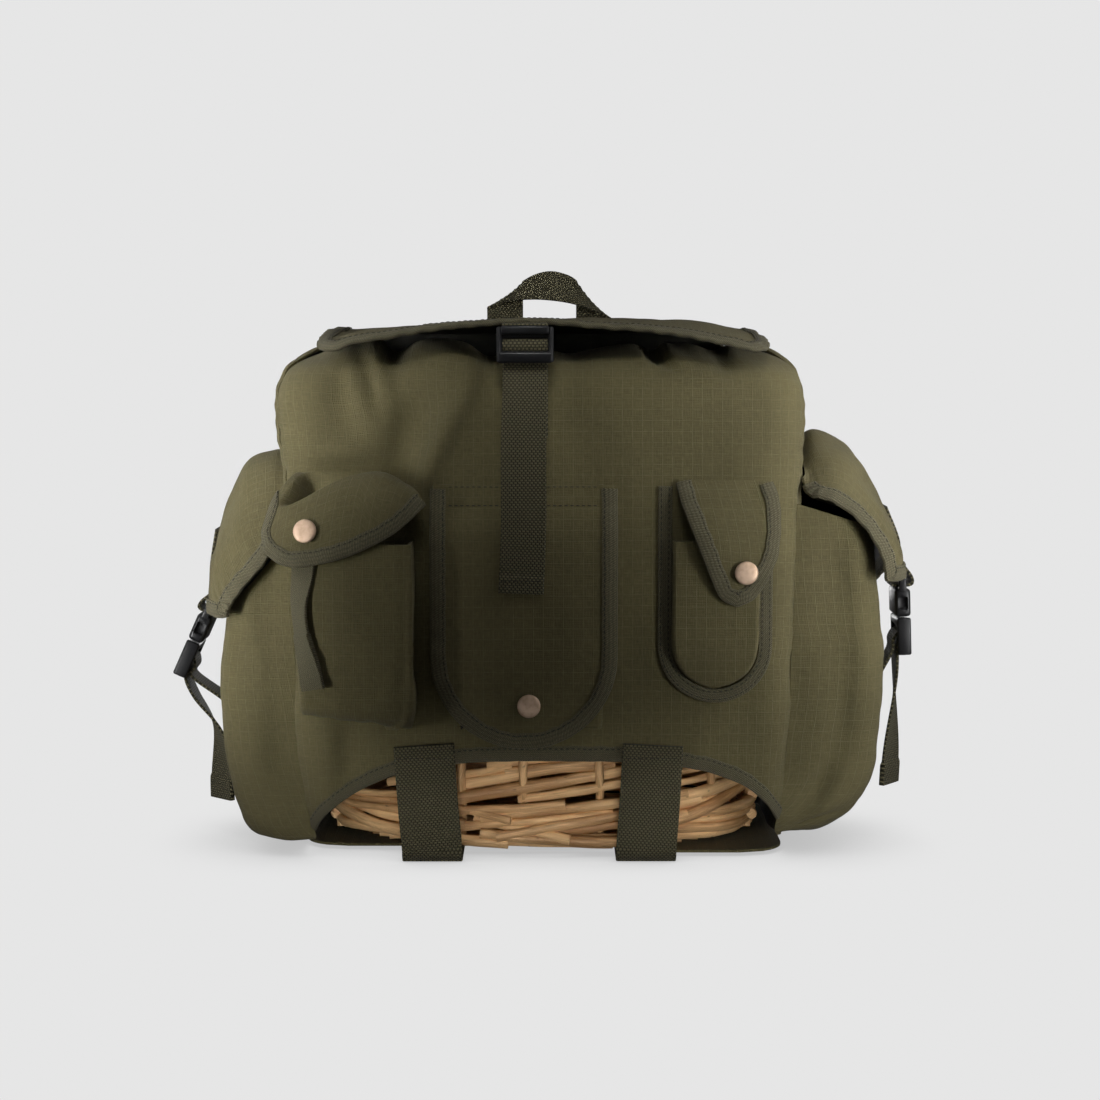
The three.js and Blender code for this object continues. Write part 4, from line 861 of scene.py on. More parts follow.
def edge_stations(place, count, start=0.0, right_side=True, taper=0):
    """Places along a flap's free edge, the places a tape's width in, and the tape's depth behind."""
    down, over = np.linspace(start, 1, count), np.linspace(0, 1, count)
    u = np.concatenate([np.zeros(count), over[1:]])
    v = np.concatenate([down, np.ones(count - 1)])
    if right_side:
        u = np.concatenate([u, np.ones(count - 1)])
        v = np.concatenate([v, down[::-1][1:]])
    edge = place(u, v)
    reach = lengths_along(edge)
    tangent = unit(np.gradient(edge, reach, axis=0))
    inwards = unit(np.cross(surface_normals(place, u, v), tangent))
    middle = place(np.array([0.5]), np.array([0.5]))
    inwards = inwards * np.sign(np.sum(inwards * (middle - edge)))
    leg = np.full((len(u), 1), float(TAPE_LEG))
    if taper:
        leg[:, 0] *= smooth(reach, -taper / 3, taper)
    inner_u, inner_v = nearest_on(place, edge + inwards * leg)
    inner = place(inner_u, inner_v)
    forward = np.sum(np.gradient(inner, reach, axis=0) * tangent, axis=1)
    good = forward > TAPE_FORWARD
    good[[0, -1]] = True
    inner_u = np.interp(reach, reach[good], inner_u[good])
    inner_v = np.interp(reach, reach[good], inner_v[good])
    return u, v, inner_u, inner_v, smooth(v, 0, TAPE_DEPTH_SHARE)


def hem_stations(count):
    """Places along the lower edge of the front panel, and the places a tape's width up from them."""
    u = np.linspace(0, 1, count)
    v = np.zeros(count)
    step = SMALL_STEP
    tall = np.linalg.norm(front_panel_place(u, v + step) - front_panel_place(u, v), axis=1) / step
    return u, v, u, TAPE_LEG / tall, np.ones(count)


def bind_edge(name, place, stations, facing, relief=None):
    """Tape folded round a cloth edge, with a leg on each face, and the line of its stitches."""
    u, v, inner_u, inner_v, depth = stations
    depth = depth[:, None]

    def face(u, v):
        normal = facing * surface_normals(place, u, v)
        points = place(u, v)
        if relief is not None:
            points = points + normal * relief(points, u, v)[:, None]
        return points, normal

    edge, edge_normal = face(u, v)
    leg, leg_normal = face(inner_u, inner_v)
    off = unit(edge - leg)
    reach = lengths_along(edge)
    leg = leg + off * uneven_waves(reach, *TAPE_RIPPLE)[:, None]
    middle, middle_normal = (edge + leg) / 2, unit(edge_normal + leg_normal)
    gap, far = TAPE_GAP, TAPE_GAP + TAPE
    core = edge - edge_normal * CANVAS / 2
    bend, inner_bend = CANVAS / 2 + far, CANVAS / 2 + gap
    slant = math.sqrt(0.5)

    def faced(points, normal, high):
        return points + normal * high

    rings = [
        faced(leg, leg_normal, far * TAPE_EDGE["thin"]),
        faced(leg, leg_normal, far) + off * TAPE_EDGE["round"],
        faced(middle, middle_normal, far + TAPE_EDGE["crown"]),
        faced(edge, edge_normal, far),
        core + (edge_normal + off) * slant * bend,
        core + off * bend,
        core + (off - edge_normal * depth) * slant * bend,
        faced(edge, edge_normal, -CANVAS - far * depth),
        faced(middle, middle_normal, -CANVAS - far * depth),
        faced(leg, leg_normal, -CANVAS - far * depth),
        faced(leg, leg_normal, -CANVAS + gap - 2 * gap * depth),
        faced(edge, edge_normal, -CANVAS + gap - 2 * gap * depth),
        core + off * inner_bend,
        faced(edge, edge_normal, gap),
        faced(leg, leg_normal, gap),
    ]
    rings = np.stack(rings, axis=1)
    around = lengths_along(rings.mean(axis=0))
    piece = join_rings(name, "tape", rings, around, reach)
    carry(piece, name)
    lift = far + STITCH["radius"] * STITCH["sunk"]
    stitch_line = mix(leg, edge, STITCH["in"]) + mix(leg_normal, edge_normal, STITCH["in"]) * lift
    return piece, stitch_line, leg_normal


def model_stitch():
    clear_selection()
    bpy.ops.mesh.primitive_uv_sphere_add(segments=6, ring_count=4, radius=1)
    stitch = bpy.context.object
    start_editing()
    thin, long = STITCH["radius"] * MM, STITCH["length"] / 2 * MM
    bpy.ops.transform.resize(value=(thin, thin, long))
    stop_editing()
    return stitch


def join_pieces(pieces, name):
    clear_selection()
    for piece in pieces:
        piece.select_set(True)
    bpy.context.view_layer.objects.active = pieces[0]
    bpy.ops.object.join()
    joined = bpy.context.object
    joined.name = name
    joined.data.name = name
    return joined


def sew(name, lines):
    """Stitches copied along lines on the cloth, each line with its normals."""
    first = model_stitch()
    copies = []
    for line, normals in lines:
        reach = lengths_along(line)
        at = np.arange(STITCH["pitch"] / 2, reach[-1], STITCH["pitch"])
        places = read_line(line, reach, at)
        outs = unit(read_line(normals, reach, at))
        ways = unit(read_line(np.gradient(line, reach, axis=0), reach, at))
        for place, out, way in zip(places, outs, ways):
            mesh = first.data.copy()
            across = np.cross(out, way)
            turn = Matrix((across, np.cross(way, across), way)).transposed().to_4x4()
            mesh.transform(Matrix.Translation(Vector(place * MM)) @ turn)
            copy = bpy.data.objects.new(name, mesh)
            bpy.context.collection.objects.link(copy)
            copies.append(copy)
    bpy.data.objects.remove(first)
    row = join_pieces(copies, name)
    give_finish(row, name, ("thread",))
    soften(row, 80)
    carry(row)
    return row


def level_row(middle, half, y, z):
    """A level line of stitches across a strap on the front, with its normals."""
    row = stack(np.linspace(middle - half, middle + half, ROW_POINTS), y, z)
    return row, np.tile([0.0, -1.0, 0.0], (ROW_POINTS, 1))


def add_flap(name, trim, place, columns, rows, facing, relief, stations, flat_on=None, more_rows=()):
    """A flap with its edge bound and sewn. Returns the cloth, and the list of its tape and stitches."""
    flap = lay_cloth(name, place, columns, rows, facing, relief, flat_on=flat_on)
    binding, line, normals = bind_edge(trim.format("binding"), place, stations, facing, relief)
    stitches = sew(trim.format("stitches"), [(line, normals), *more_rows])
    return flap, [binding, stitches]


# Finishes


def start_finish(name):
    finish = bpy.data.materials.new(name)
    finish.use_nodes = True
    tree = finish.node_tree
    return finish, tree, tree.nodes["Principled BSDF"]


def feed(tree, socket, value):
    if isinstance(value, bpy.types.NodeSocket):
        tree.links.new(value, socket)
    else:
        socket.default_value = value


def add_node(tree, kind, inputs, **settings):
    node = tree.nodes.new(kind)
    for key, value in settings.items():
        setattr(node, key, value)
    for key, value in inputs.items():
        feed(tree, node.inputs[key], value)
    return node


def calc(tree, operation, *values):
    inputs = dict(enumerate(values))
    return add_node(tree, "ShaderNodeMath", inputs, operation=operation).outputs[0]


def times(tree, a, b):
    return calc(tree, "MULTIPLY", a, b)


def plus(tree, a, b):
    return calc(tree, "ADD", a, b)


def set_colour(tree, shader, colour):
    feed(tree, shader.inputs["Base Color"], colour)


def remap(tree, value, low, high, to_low, to_high):
    inputs = {"Value": value, "From Min": low, "From Max": high, "To Min": to_low, "To Max": to_high}
    return add_node(tree, "ShaderNodeMapRange", inputs, interpolation_type="SMOOTHSTEP").outputs[0]


def blend_colours(tree, share, first, second, kind="MIX"):
    node = tree.nodes.new("ShaderNodeMix")
    node.data_type = "RGBA"
    node.blend_type = kind
    feed(tree, node.inputs[0], share)
    feed(tree, node.inputs[6], first)
    feed(tree, node.inputs[7], second)
    return node.outputs[2]


def cut_coordinates(tree):
    """Millimetres across and along the piece's own flat cut."""
    source = tree.nodes.new("ShaderNodeUVMap")
    parts = add_node(tree, "ShaderNodeSeparateXYZ", {0: source.outputs[0]})
    return times(tree, parts.outputs[0], 1000), times(tree, parts.outputs[1], 1000)


def cloth_noise(tree, across, along, stretch_across, stretch_along, detail=3.0):
    place = add_node(tree, "ShaderNodeCombineXYZ", {
        0: times(tree, across, stretch_across),
        1: times(tree, along, stretch_along),
    })
    inputs = {"Vector": place.outputs[0], "Scale": 1.0, "Detail": detail}
    return add_node(tree, "ShaderNodeTexNoise", inputs).outputs[0]


def place_noise(tree, scale, detail=3.0):
    source = tree.nodes.new("ShaderNodeTexCoord")
    inputs = {"Vector": source.outputs["Object"], "Scale": scale, "Detail": detail}
    return add_node(tree, "ShaderNodeTexNoise", inputs).outputs[0]


def grid_line(tree, at, pitch, width):
    """1 on lines a pitch apart, 0 between them."""
    return remap(tree, calc(tree, "PINGPONG", at, pitch / 2), 0.0, width, 1.0, 0.0)


def wave(tree, at, pitch):
    turned = calc(tree, "SINE", times(tree, at, 2 * math.pi / pitch))
    return calc(tree, "MULTIPLY_ADD", turned, 0.5, 0.5)


def add_bump(tree, shader, height, distance, strength=1.0):
    inputs = {"Height": height, "Distance": distance, "Strength": strength}
    tree.links.new(add_node(tree, "ShaderNodeBump", inputs).outputs[0], shader.inputs["Normal"])


def set_cloth_shine(shader, roughness, sheen):
    shader.inputs["Roughness"].default_value = roughness
    shader.inputs["Specular IOR Level"].default_value = 0.25
    shader.inputs["Sheen Weight"].default_value = sheen
    shader.inputs["Sheen Roughness"].default_value = 0.5


CANVAS_COLOUR = (0.118, 0.101, 0.0455, 1)
CANVAS_LINE = (0.165, 0.145, 0.074, 1)
RIPSTOP = {"across": 6.2, "along": 6.8, "width": 0.42}


def canvas_finish():
    finish, tree, shader = start_finish("ripstop_canvas")
    across, along = cut_coordinates(tree)
    upright = grid_line(tree, across, RIPSTOP["across"], RIPSTOP["width"])
    level = grid_line(tree, along, RIPSTOP["along"], RIPSTOP["width"])
    lines = calc(tree, "MAXIMUM", upright, times(tree, level, 0.85))
    broken = remap(tree, cloth_noise(tree, across, along, 0.35, 0.35), 0.35, 0.7, 0.25, 0.8)
    slub_up = cloth_noise(tree, across, along, 2.2, 0.16)
    slub_level = cloth_noise(tree, across, along, 0.16, 2.2)
    slubs = plus(tree, slub_up, slub_level)
    tone = remap(tree, slubs, 0.7, 1.3, 0.80, 1.12)
    patch = remap(tree, place_noise(tree, 14.0), 0.3, 0.7, 0.92, 1.08)
    shade = times(tree, tone, patch)
    colour = blend_colours(tree, times(tree, lines, broken), CANVAS_COLOUR, CANVAS_LINE)
    colour = blend_colours(tree, 1.0, colour, shade, "MULTIPLY")
    set_colour(tree, shader, colour)
    set_cloth_shine(shader, 0.85, 0.05)
    weave = times(tree, wave(tree, across, 1.1), wave(tree, along, 1.1))
    height = plus(tree, times(tree, weave, 0.35), times(tree, lines, 0.5))
    height = plus(tree, height, times(tree, slubs, 0.7))
    height = plus(tree, height, times(tree, place_noise(tree, 90.0), 2.2))
    add_bump(tree, shader, height, 0.00035)
    return finish


LINING_DARK = (0.014, 0.0125, 0.008, 1)
LINING_LIGHT = (0.026, 0.024, 0.017, 1)


def lining_finish():
    finish, tree, shader = start_finish("coated_lining")
    across, along = cut_coordinates(tree)
    weave = times(tree, wave(tree, across, 1.1), wave(tree, along, 1.1))
    patch = remap(tree, place_noise(tree, 40.0), 0.3, 0.7, 0.0, 1.0)
    set_colour(tree, shader, blend_colours(tree, patch, LINING_DARK, LINING_LIGHT))
    set_cloth_shine(shader, 0.55, 0.0)
    add_bump(tree, shader, weave, 0.0001)
    return finish


WEBBING_DARK = (0.026, 0.0235, 0.0125, 1)
WEBBING_LIGHT = (0.165, 0.147, 0.080, 1)
WEBBING_YARN = {"across": 2.5, "along": 1.5}


def webbing_finish():
    finish, tree, shader = start_finish("woven_webbing")
    across, along = cut_coordinates(tree)
    row = calc(tree, "FLOOR", calc(tree, "DIVIDE", along, WEBBING_YARN["along"]))
    stagger = times(tree, calc(tree, "MODULO", row, 2.0), 0.5)
    column = plus(tree, calc(tree, "DIVIDE", across, WEBBING_YARN["across"]), stagger)
    in_column = calc(tree, "PINGPONG", column, 0.5)
    in_row = calc(tree, "PINGPONG", calc(tree, "DIVIDE", along, WEBBING_YARN["along"]), 0.5)
    over_column = remap(tree, in_column, 0.03, 0.3, 0.0, 1.0)
    knot = times(tree, over_column, remap(tree, in_row, 0.0, 0.3, 0.1, 1.0))
    fuzz = cloth_noise(tree, across, along, 1.6, 1.6)
    share = times(tree, knot, remap(tree, fuzz, 0.25, 0.75, 0.5, 1.0))
    set_colour(tree, shader, blend_colours(tree, share, WEBBING_DARK, WEBBING_LIGHT))
    set_cloth_shine(shader, 0.75, 0.05)
    add_bump(tree, shader, plus(tree, knot, times(tree, fuzz, 0.3)), 0.00045)
    return finish


TAPE_DARK = (0.043, 0.0390, 0.0225, 1)
TAPE_LIGHT = (0.190, 0.170, 0.101, 1)
TAPE_TWILL = 1.1


def tape_finish():
    finish, tree, shader = start_finish("binding_tape")
    across, along = cut_coordinates(tree)
    slant = plus(tree, along, times(tree, across, 0.8))
    cords = remap(tree, wave(tree, across, 1.4), 0, 1, 0.5, 1.0)
    twill = times(tree, wave(tree, slant, TAPE_TWILL), cords)
    fuzz = cloth_noise(tree, across, along, 1.3, 1.3)
    worn = remap(tree, fuzz, 0.3, 0.7, 0.45, 1.0)
    share = times(tree, worn, remap(tree, twill, 0.0, 0.8, 0.25, 1.0))
    set_colour(tree, shader, blend_colours(tree, share, TAPE_DARK, TAPE_LIGHT))
    set_cloth_shine(shader, 0.85, 0.05)
    add_bump(tree, shader, plus(tree, twill, times(tree, fuzz, 0.6)), 0.0003)
    return finish


THREAD_DARK = (0.010, 0.009, 0.005, 1)
THREAD_LIGHT = (0.026, 0.023, 0.014, 1)


def thread_finish():
    finish, tree, shader = start_finish("sewing_thread")
    streak = place_noise(tree, 900.0)
    set_colour(tree, shader, blend_colours(tree, streak, THREAD_DARK, THREAD_LIGHT))
    set_cloth_shine(shader, 0.6, 0.1)
    add_bump(tree, shader, streak, 0.0001)
    return finish


PLASTIC_DARK = (0.007, 0.007, 0.008, 1)
PLASTIC_LIGHT = (0.013, 0.013, 0.014, 1)


def plastic_finish():
    finish, tree, shader = start_finish("moulded_plastic")
    grain = place_noise(tree, 700.0)
    haze = place_noise(tree, 60.0)
    set_colour(tree, shader, blend_colours(tree, haze, PLASTIC_DARK, PLASTIC_LIGHT))
    feed(tree, shader.inputs["Roughness"], remap(tree, haze, 0.3, 0.7, 0.3, 0.45))
    shader.inputs["Specular IOR Level"].default_value = 0.3
    add_bump(tree, shader, grain, 0.00004)
    return finish


BRASS_BRIGHT = (0.72, 0.53, 0.38, 1)
BRASS_DULL = (0.58, 0.40, 0.27, 1)


def brass_finish():
    finish, tree, shader = start_finish("rose_brass")
    tarnish = place_noise(tree, 220.0)
    colour = blend_colours(tree, remap(tree, tarnish, 0.35, 0.75, 0, 1), BRASS_BRIGHT, BRASS_DULL)
    set_colour(tree, shader, colour)
    feed(tree, shader.inputs["Roughness"], remap(tree, tarnish, 0.3, 0.7, 0.45, 0.6))
    shader.inputs["Metallic"].default_value = 0.55
    add_bump(tree, shader, place_noise(tree, 500.0), 0.00003)
    return finish


WILLOW_PALE = (0.98, 0.63, 0.30, 1)
WILLOW_BROWN = (0.48, 0.25, 0.10, 1)
WILLOW_DARK = (0.12, 0.055, 0.022, 1)


def willow_finish():
    finish, tree, shader = start_finish("peeled_willow")
    around, along = cut_coordinates(tree)
    streak = cloth_noise(tree, around, along, 0.7, 0.05)
    rod_tone = cloth_noise(tree, around, along, 0.004, 0.012, 1.0)
    knots = cloth_noise(tree, around, along, 0.25, 0.12, 2.0)
    share = plus(tree, times(tree, streak, 0.6), times(tree, rod_tone, 0.9))
    colour = blend_colours(tree, remap(tree, share, 0.58, 0.98, 0.0, 1.0), WILLOW_PALE, WILLOW_BROWN)
    colour = blend_colours(tree, remap(tree, knots, 0.66, 0.78, 0.0, 0.75), colour, WILLOW_DARK)
    set_colour(tree, shader, colour)
    shader.inputs["Roughness"].default_value = 0.48
    shader.inputs["Specular IOR Level"].default_value = 0.4
    add_bump(tree, shader, plus(tree, streak, times(tree, knots, 0.8)), 0.0005)
    return finish


FINISH = {
    "canvas": canvas_finish(),
    "lining": lining_finish(),
    "webbing": webbing_finish(),
    "tape": tape_finish(),
    "thread": thread_finish(),
    "plastic": plastic_finish(),
    "brass": brass_finish(),
    "willow": willow_finish(),
}


# The bag's panels


def front_seam_distance(u):
    across = section(HALF, SEAM_MEASURED_AT) - section(CORNER, SEAM_MEASURED_AT) * (1 - math.pi / 4)
    return (1 - np.abs(front_share(u))) * across


def front_relief(points, u, v):
    x, z = points[:, 0], points[:, 2]
    seam = front_seam_distance(u)
    hem = v * (BODY_TOP - WINDOW["crown"])
    return (
        fold_height(PANEL_FOLDS, x, z)
        + seam_roll(seam, *SEAM_ROLL)
        + pucker(seam, z, "front")
        + pucker(hem, x, "hem")
        + smooth(v, RIM_PLEATS_FROM, 1.0) * uneven_waves(x, *RIM_PLEATS)
        + crumple(points, "front")
    )


def side_relief(points, u, v):
    seam = from_sides(u, CLOTH_WIDTH["side"])
    return seam_roll(seam, *SEAM_ROLL) + pucker(seam, points[:, 2], "side") + crumple(points, "side")


def back_relief(points, u, v):
    seam = from_sides(u, CLOTH_WIDTH["back"])
    soft = crumple(points, "back") - BACK_SINK
    return seam_roll(seam, *BACK_SEAM_ROLL) + pucker(seam, points[:, 2], "back") + soft


def add_panels():
    lay_cloth("front_panel", front_panel_place, 190, 140, 1, front_relief, lambda first: first[:, 2])
    for name, setup in SIDES.items():
        side = setup["side"]
        lay_cloth(f"side_panel_{name}", lambda u, v: side_panel_place(side, u, v), 60, 100, 1, side_relief,
                  lambda first: first[:, 2])
    lay_cloth("back_panel", back_panel_place, 110, 100, 1, back_relief)
    lay_cloth("base_panel", base_panel_place, 60, 40, 1, None, None, [0, 1])
    _, line, normals = bind_edge("window_binding", front_panel_place, hem_stations(170), 1, front_relief)
    sew("window_stitches", [(line, normals)])


# The willow basket


def add_rod(points, first_radius, last_radius, seed):
    """A tapering rod along points, cut square at its ends."""
    line = smooth_line(points, 4.0)
    waver, waver_size = ROD_WAVER
    shift = Vector([seed * step for step in ROD_SHIFT])
    line = line + np.array([noise.noise_vector(Vector(p) / waver_size + shift) for p in line]) * waver
    tangent = unit(np.gradient(line, axis=0))
    side = unit(np.cross(tangent, [0, 0, 1]))
    up = np.cross(side, tangent)
    reach = lengths_along(line)
    swelling, swelling_length = ROD_SWELLING
    radius = mix(first_radius, last_radius, reach / reach[-1])
    radius = radius * (1 + swelling * np.sin(reach / swelling_length + seed))
    turn = np.arange(ROD_SIDES) * 2 * math.pi / ROD_SIDES
    ring = side[:, None] * np.cos(turn)[None, :, None] + up[:, None] * np.sin(turn)[None, :, None]
    rings = line[:, None] + ring * radius[:, None, None]
    across_shift, along_shift = ROD_CUT_SHIFT
    around = turn * (first_radius + last_radius) / 2 + seed * across_shift
    return join_rings("rod", "willow", rings, around, reach + seed * along_shift)


def window_rods():
    rods = []
    for k, (x0, z0, x1, z1, x2, z2, first, last, near, far) in enumerate(FRONT_RODS):
        path = smooth_line([(x0, near, z0), (x1, (near + far) / 2, z1), (x2, far, z2)], 5.0)
        points = basket_front(path[:, 0], path[:, 2], path[:, 1] - ROD_INSET)
        rods.append(add_rod(points, first, last, k + 1))
    return rods


def hidden_rods():
    """Level courses round the sides and the back, and along the front above the window."""
    rods = []
    radius = COURSE["radius"]
    for start, end, steps, count, lowest, seed in COURSES:
        turn = np.linspace(math.radians(start), math.radians(end), steps)
        for k in range(count):
            over = COURSE["over"] * np.sin(turn * COURSE["waves"] + math.pi * k)
            line = basket_place(turn, lowest + k * COURSE["pitch"], over - ROD_INSET)
            rods.append(add_rod(line, radius, radius, seed + k))
    return rods


def stakes():
    rods = []
    z = np.array(STAKE_HEIGHTS)
    depth = mix(STAKE_DEPTH["low"], STAKE_DEPTH["high"], smooth(z, STAKE_DEPTH["from"], STAKE_DEPTH["to"]))
    for k, x in enumerate(STAKES_AT):
        points = basket_front(np.full(len(z), float(x)), z, depth)
        rods.append(add_rod(points, STAKE_RADIUS, STAKE_RADIUS, STAKE_SEED + k))
    for k in range(HIDDEN_STAKES["count"]):
        turn = np.float64(math.radians(HIDDEN_STAKES["first"] + HIDDEN_STAKES["step"] * k))
        points = [basket_place(turn, np.float64(h), -ROD_INSET) for h in HIDDEN_STAKES["heights"]]
        rods.append(add_rod(points, STAKE_RADIUS, STAKE_RADIUS, HIDDEN_STAKES["seed"] + k))
    return rods


def floor_rods():
    rods = []
    z, radius, power = FLOOR_RODS["z"], FLOOR_RODS["radius"], BASKET["square"]
    for k in range(FLOOR_RODS["count"]):
        y = FLOOR_RODS["first"] + k * FLOOR_RODS["pitch"]
        half = FLOOR_RODS["half"] * (1 - (abs(y) / FLOOR_RODS["deep"]) ** power) ** (1 / power)
        rods.append(add_rod([(-half, y, z), (0, y, z), (half, y, z)], radius, radius, FLOOR_RODS["seed"] + k))
    return rods


def add_basket():
    noise.seed_set(WAVER_SEED)
    weave = join_pieces(window_rods() + hidden_rods() + stakes(), "basket_weave")
    carry(weave, "basket_wall")
    carry(join_pieces(floor_rods(), "basket_floor"), "basket_base")


def add_basket_straps():
    lines = []
    strap = BASKET_STRAP
    turn, end, floor = strap["turn"], strap["end"], WEBBING / 2
    half = strap["width"] / 2 - strap["row_in"]
    for name, top, bottom in BASKET_STRAPS:
        face = on_front(top, end, TAPE_GAP + TAPE + SEAM + strap["ease"] + WEBBING / 2)[1]
        line = [(top, face, end), ((top + bottom) / 2, face, end / 2)]
        for k in range(strap["turn_steps"] + 1):
            angle = math.pi * (1 + k / (2 * strap["turn_steps"]))
            line.append((bottom, face + turn * (1 + math.cos(angle)), floor + turn * (1 + math.sin(angle))))
        line.append((bottom, strap["back"], floor))
        lay_strap(f"basket_strap_{name}", smooth_line(line), (1, 0, 0), strap["width"],
                  first_hem=strap["hem"])
        row_z = end - strap["hem"] + STITCH["from_hem"]
        lines.append(level_row(top, half, face - WEBBING - STITCH["lift"], row_z))
    sew("basket_strap_stitches", lines)


# Lid, its lock and the handle


def lid_relief(points, u, v):
    gathers = pucker(from_free_edge("lid", u, v), points[:, 0] + points[:, 1], "lid")
    return flap_softness("lid", points, v) + gathers


def add_lid():
    stations = edge_stations(lid_place, 90, 0.1)
    lid, trim = add_flap("lid", "lid_{}", lid_place, 110, 80, -1, lid_relief, stations)


def lock_at(out, up):
    return (LOCK["x"], LOCK["y"] - out, LOCK["z"] + up)


def add_lid_strap():
    sewn = SEAM + WEBBING / 2
    lift = CENTRE_FLAP["lift"] + CANVAS + SEAM * 2 + WEBBING
    over_flap = on_front(LOCK["x"], CENTRE_FLAP["straight"], lift)[1]
    line = [on_front(LOCK["x"], z, sewn + rise) for z, rise in LID_STRAP_RISE]
    line += [lock_at(out, up) for out, up in THREAD]
    line += [(LOCK["x"] + aside, over_flap + back, z) for z, back, aside in LID_STRAP_TAIL]
    lay_strap("lid_strap", smooth_line(line, STRAP_STEP), (1, 0, 0), LID_STRAP_WIDTH, hem=LID_STRAP_HEM)
    bar = sum(LOCK_BARS[-1]) / 2
    tab = [(LOCK["x"], y, z) for y, z in TAB_UNDER_LID]
    tab += [lock_at(out, bar + up) for out, up in TAB_ROUND_BAR]
    lay_strap("lock_tab", smooth_line(tab, STRAP_STEP), (1, 0, 0), LID_STRAP_WIDTH, TAB_THICK)
    end_z, _, aside = LID_STRAP_TAIL[-1]
    half = LID_STRAP_WIDTH / 2 - LID_STRAP_ROW_IN
    row_z = end_z + LID_STRAP_HEM - STITCH["from_hem"]
    row = level_row(LOCK["x"] + aside, half, over_flap - WEBBING - STITCH["lift"], row_z)
    sew("lid_strap_stitches", [row])


def handle_thread(share):
    """One thread of the handle, by its share of the width: up a leg, along the band, and down."""
    offset = mix(-HANDLE["half"], HANDLE["half"], share)
    left, right = HANDLE["left"] + offset, HANDLE["right"] - offset
    x = np.linspace(left, right, HANDLE_POINTS["band"])
    z = mix(follow(HANDLE_LOWER_EDGE, 1, x), follow(HANDLE_UPPER_EDGE, 1, x), share)
    forward = HANDLE["lean"] * (follow(HANDLE_UPPER_EDGE, 1, x) - z)
    settle = np.minimum(smooth(x - left, *HANDLE_SETTLE), smooth(right - x, *HANDLE_SETTLE))
    y = mix(HANDLE["leg_y"], HANDLE["band_y"] - forward, settle)
    up = np.linspace(HANDLE["foot"], z[0] - HANDLE["leg_gap"], HANDLE_POINTS["leg"])
    down = np.linspace(z[-1] - HANDLE["leg_gap"], HANDLE["foot"], HANDLE_POINTS["leg"])
    legs = [stack(left, HANDLE["leg_y"], up), stack(right, HANDLE["leg_y"], down)]
    return smooth_line(np.concatenate([legs[0], stack(x, y, z), legs[1]]), STRAP_STEP)


def add_handle():
    shares = np.linspace(0, 1, HANDLE_POINTS["threads"])
    even = np.linspace(0, 1, HANDLE_POINTS["length"])
    paths = []
    for share in shares:
        thread = handle_thread(share)
        paths.append(read_line(thread, np.linspace(0, 1, len(thread)), even))
    surface = np.stack(paths, axis=1)
    normal = unit(np.cross(np.gradient(surface, axis=1), np.gradient(surface, axis=0)))
    front = surface + normal * WEBBING / 2
    behind = surface[:, ::-1] - normal[:, ::-1] * WEBBING / 2
    wide = (shares - 0.5) * 2 * HANDLE["half"]
    around = np.concatenate([wide, wide[::-1]])
    reach = lengths_along(surface[:, len(shares) // 2])
    rings = np.concatenate([front, behind], axis=1)
    carry(join_rings("grab_handle", "webbing", rings, around, reach), "grab_handle")


# Moulded plastic


def add_block(size, middle, bevel):
    """A block with rounded edges, in its own frame."""
    clear_selection()
    bpy.ops.mesh.primitive_cube_add(size=1)
    block = bpy.context.object
    start_editing()
    bpy.ops.transform.resize(value=tuple(s * MM for s in size))
    bpy.ops.transform.translate(value=tuple(m * MM for m in middle))
    if bevel:
        bpy.ops.mesh.bevel(offset=bevel * MM, segments=3, affect="EDGES")
    stop_editing()
    return block


def combine(piece, other, operation):
    change = piece.modifiers.new("combine", "BOOLEAN")
    change.operation = operation
    change.solver = "EXACT"
    change.object = other
    apply_modifier(piece, "combine")
    bpy.data.objects.remove(other)


def plate_with_slots(width, thick, bars, side):
    low, high = bars[0][0], bars[-1][1]
    plate = add_block((width, high - low, thick), (0, (low + high) / 2, 0), PLATE_ROUND)
    for (_, below), (above, _) in zip(bars, bars[1:]):
        slot = add_block((width - 2 * side, above - below, thick * 3), (0, (above + below) / 2, 0), 0)
        combine(plate, slot, "DIFFERENCE")
    return plate


def round_edges(piece, width):
    edges = piece.modifiers.new("edges", "BEVEL")
    edges.width = width * MM
    edges.segments = 2
    edges.limit_method = "ANGLE"
    edges.angle_limit = math.radians(50)
    apply_modifier(piece, "edges")


def set_in_place(piece, name, middle, across, out):
    """Turns a plate from its own frame to its place: across it, up it, and out of it."""
    up = np.cross(out, across)
    turn = Matrix((across, up, out)).transposed().to_4x4()
    piece.data.transform(Matrix.Translation(Vector(np.array(middle, float) * MM)) @ turn)
    give_finish(piece, name, ("plastic",))
    soften(piece, 35)
    carry(piece, name)


def mould(piece, blocks):
    """Adds blocks to a piece and cuts others out of it."""
    for operation, x, y, z, width, height, thick, rounding in blocks:
        for side in (-1, 1) if x else (1,):
            combine(piece, add_block((width, height, thick), (side * x, y, z), rounding), operation)


def add_lock():
    plate = plate_with_slots(LOCK["width"], LOCK["thick"], LOCK_BARS, LOCK["side"])
    mould(plate, LOCK_BLOCKS)
    round_edges(plate, 0.35)
    set_in_place(plate, "ladder_lock", lock_at(0, 0), (1, 0, 0), (0, -1, 0))


def add_socket(name, middle, across, out):
    socket = add_block(*SOCKET_BODY)
    mould(socket, SOCKET_BLOCKS)
    round_edges(socket, 0.3)
    set_in_place(socket, name, middle, across, out)


def add_plug(name, middle, across, out):
    plug = plate_with_slots(BUCKLE["width"], BUCKLE["thick"], PLUG_BARS, BUCKLE["side"])
    mould(plug, PLUG_BLOCKS)
    round_edges(plug, 0.3)
    set_in_place(plug, name, middle, across, out)


# Press snaps


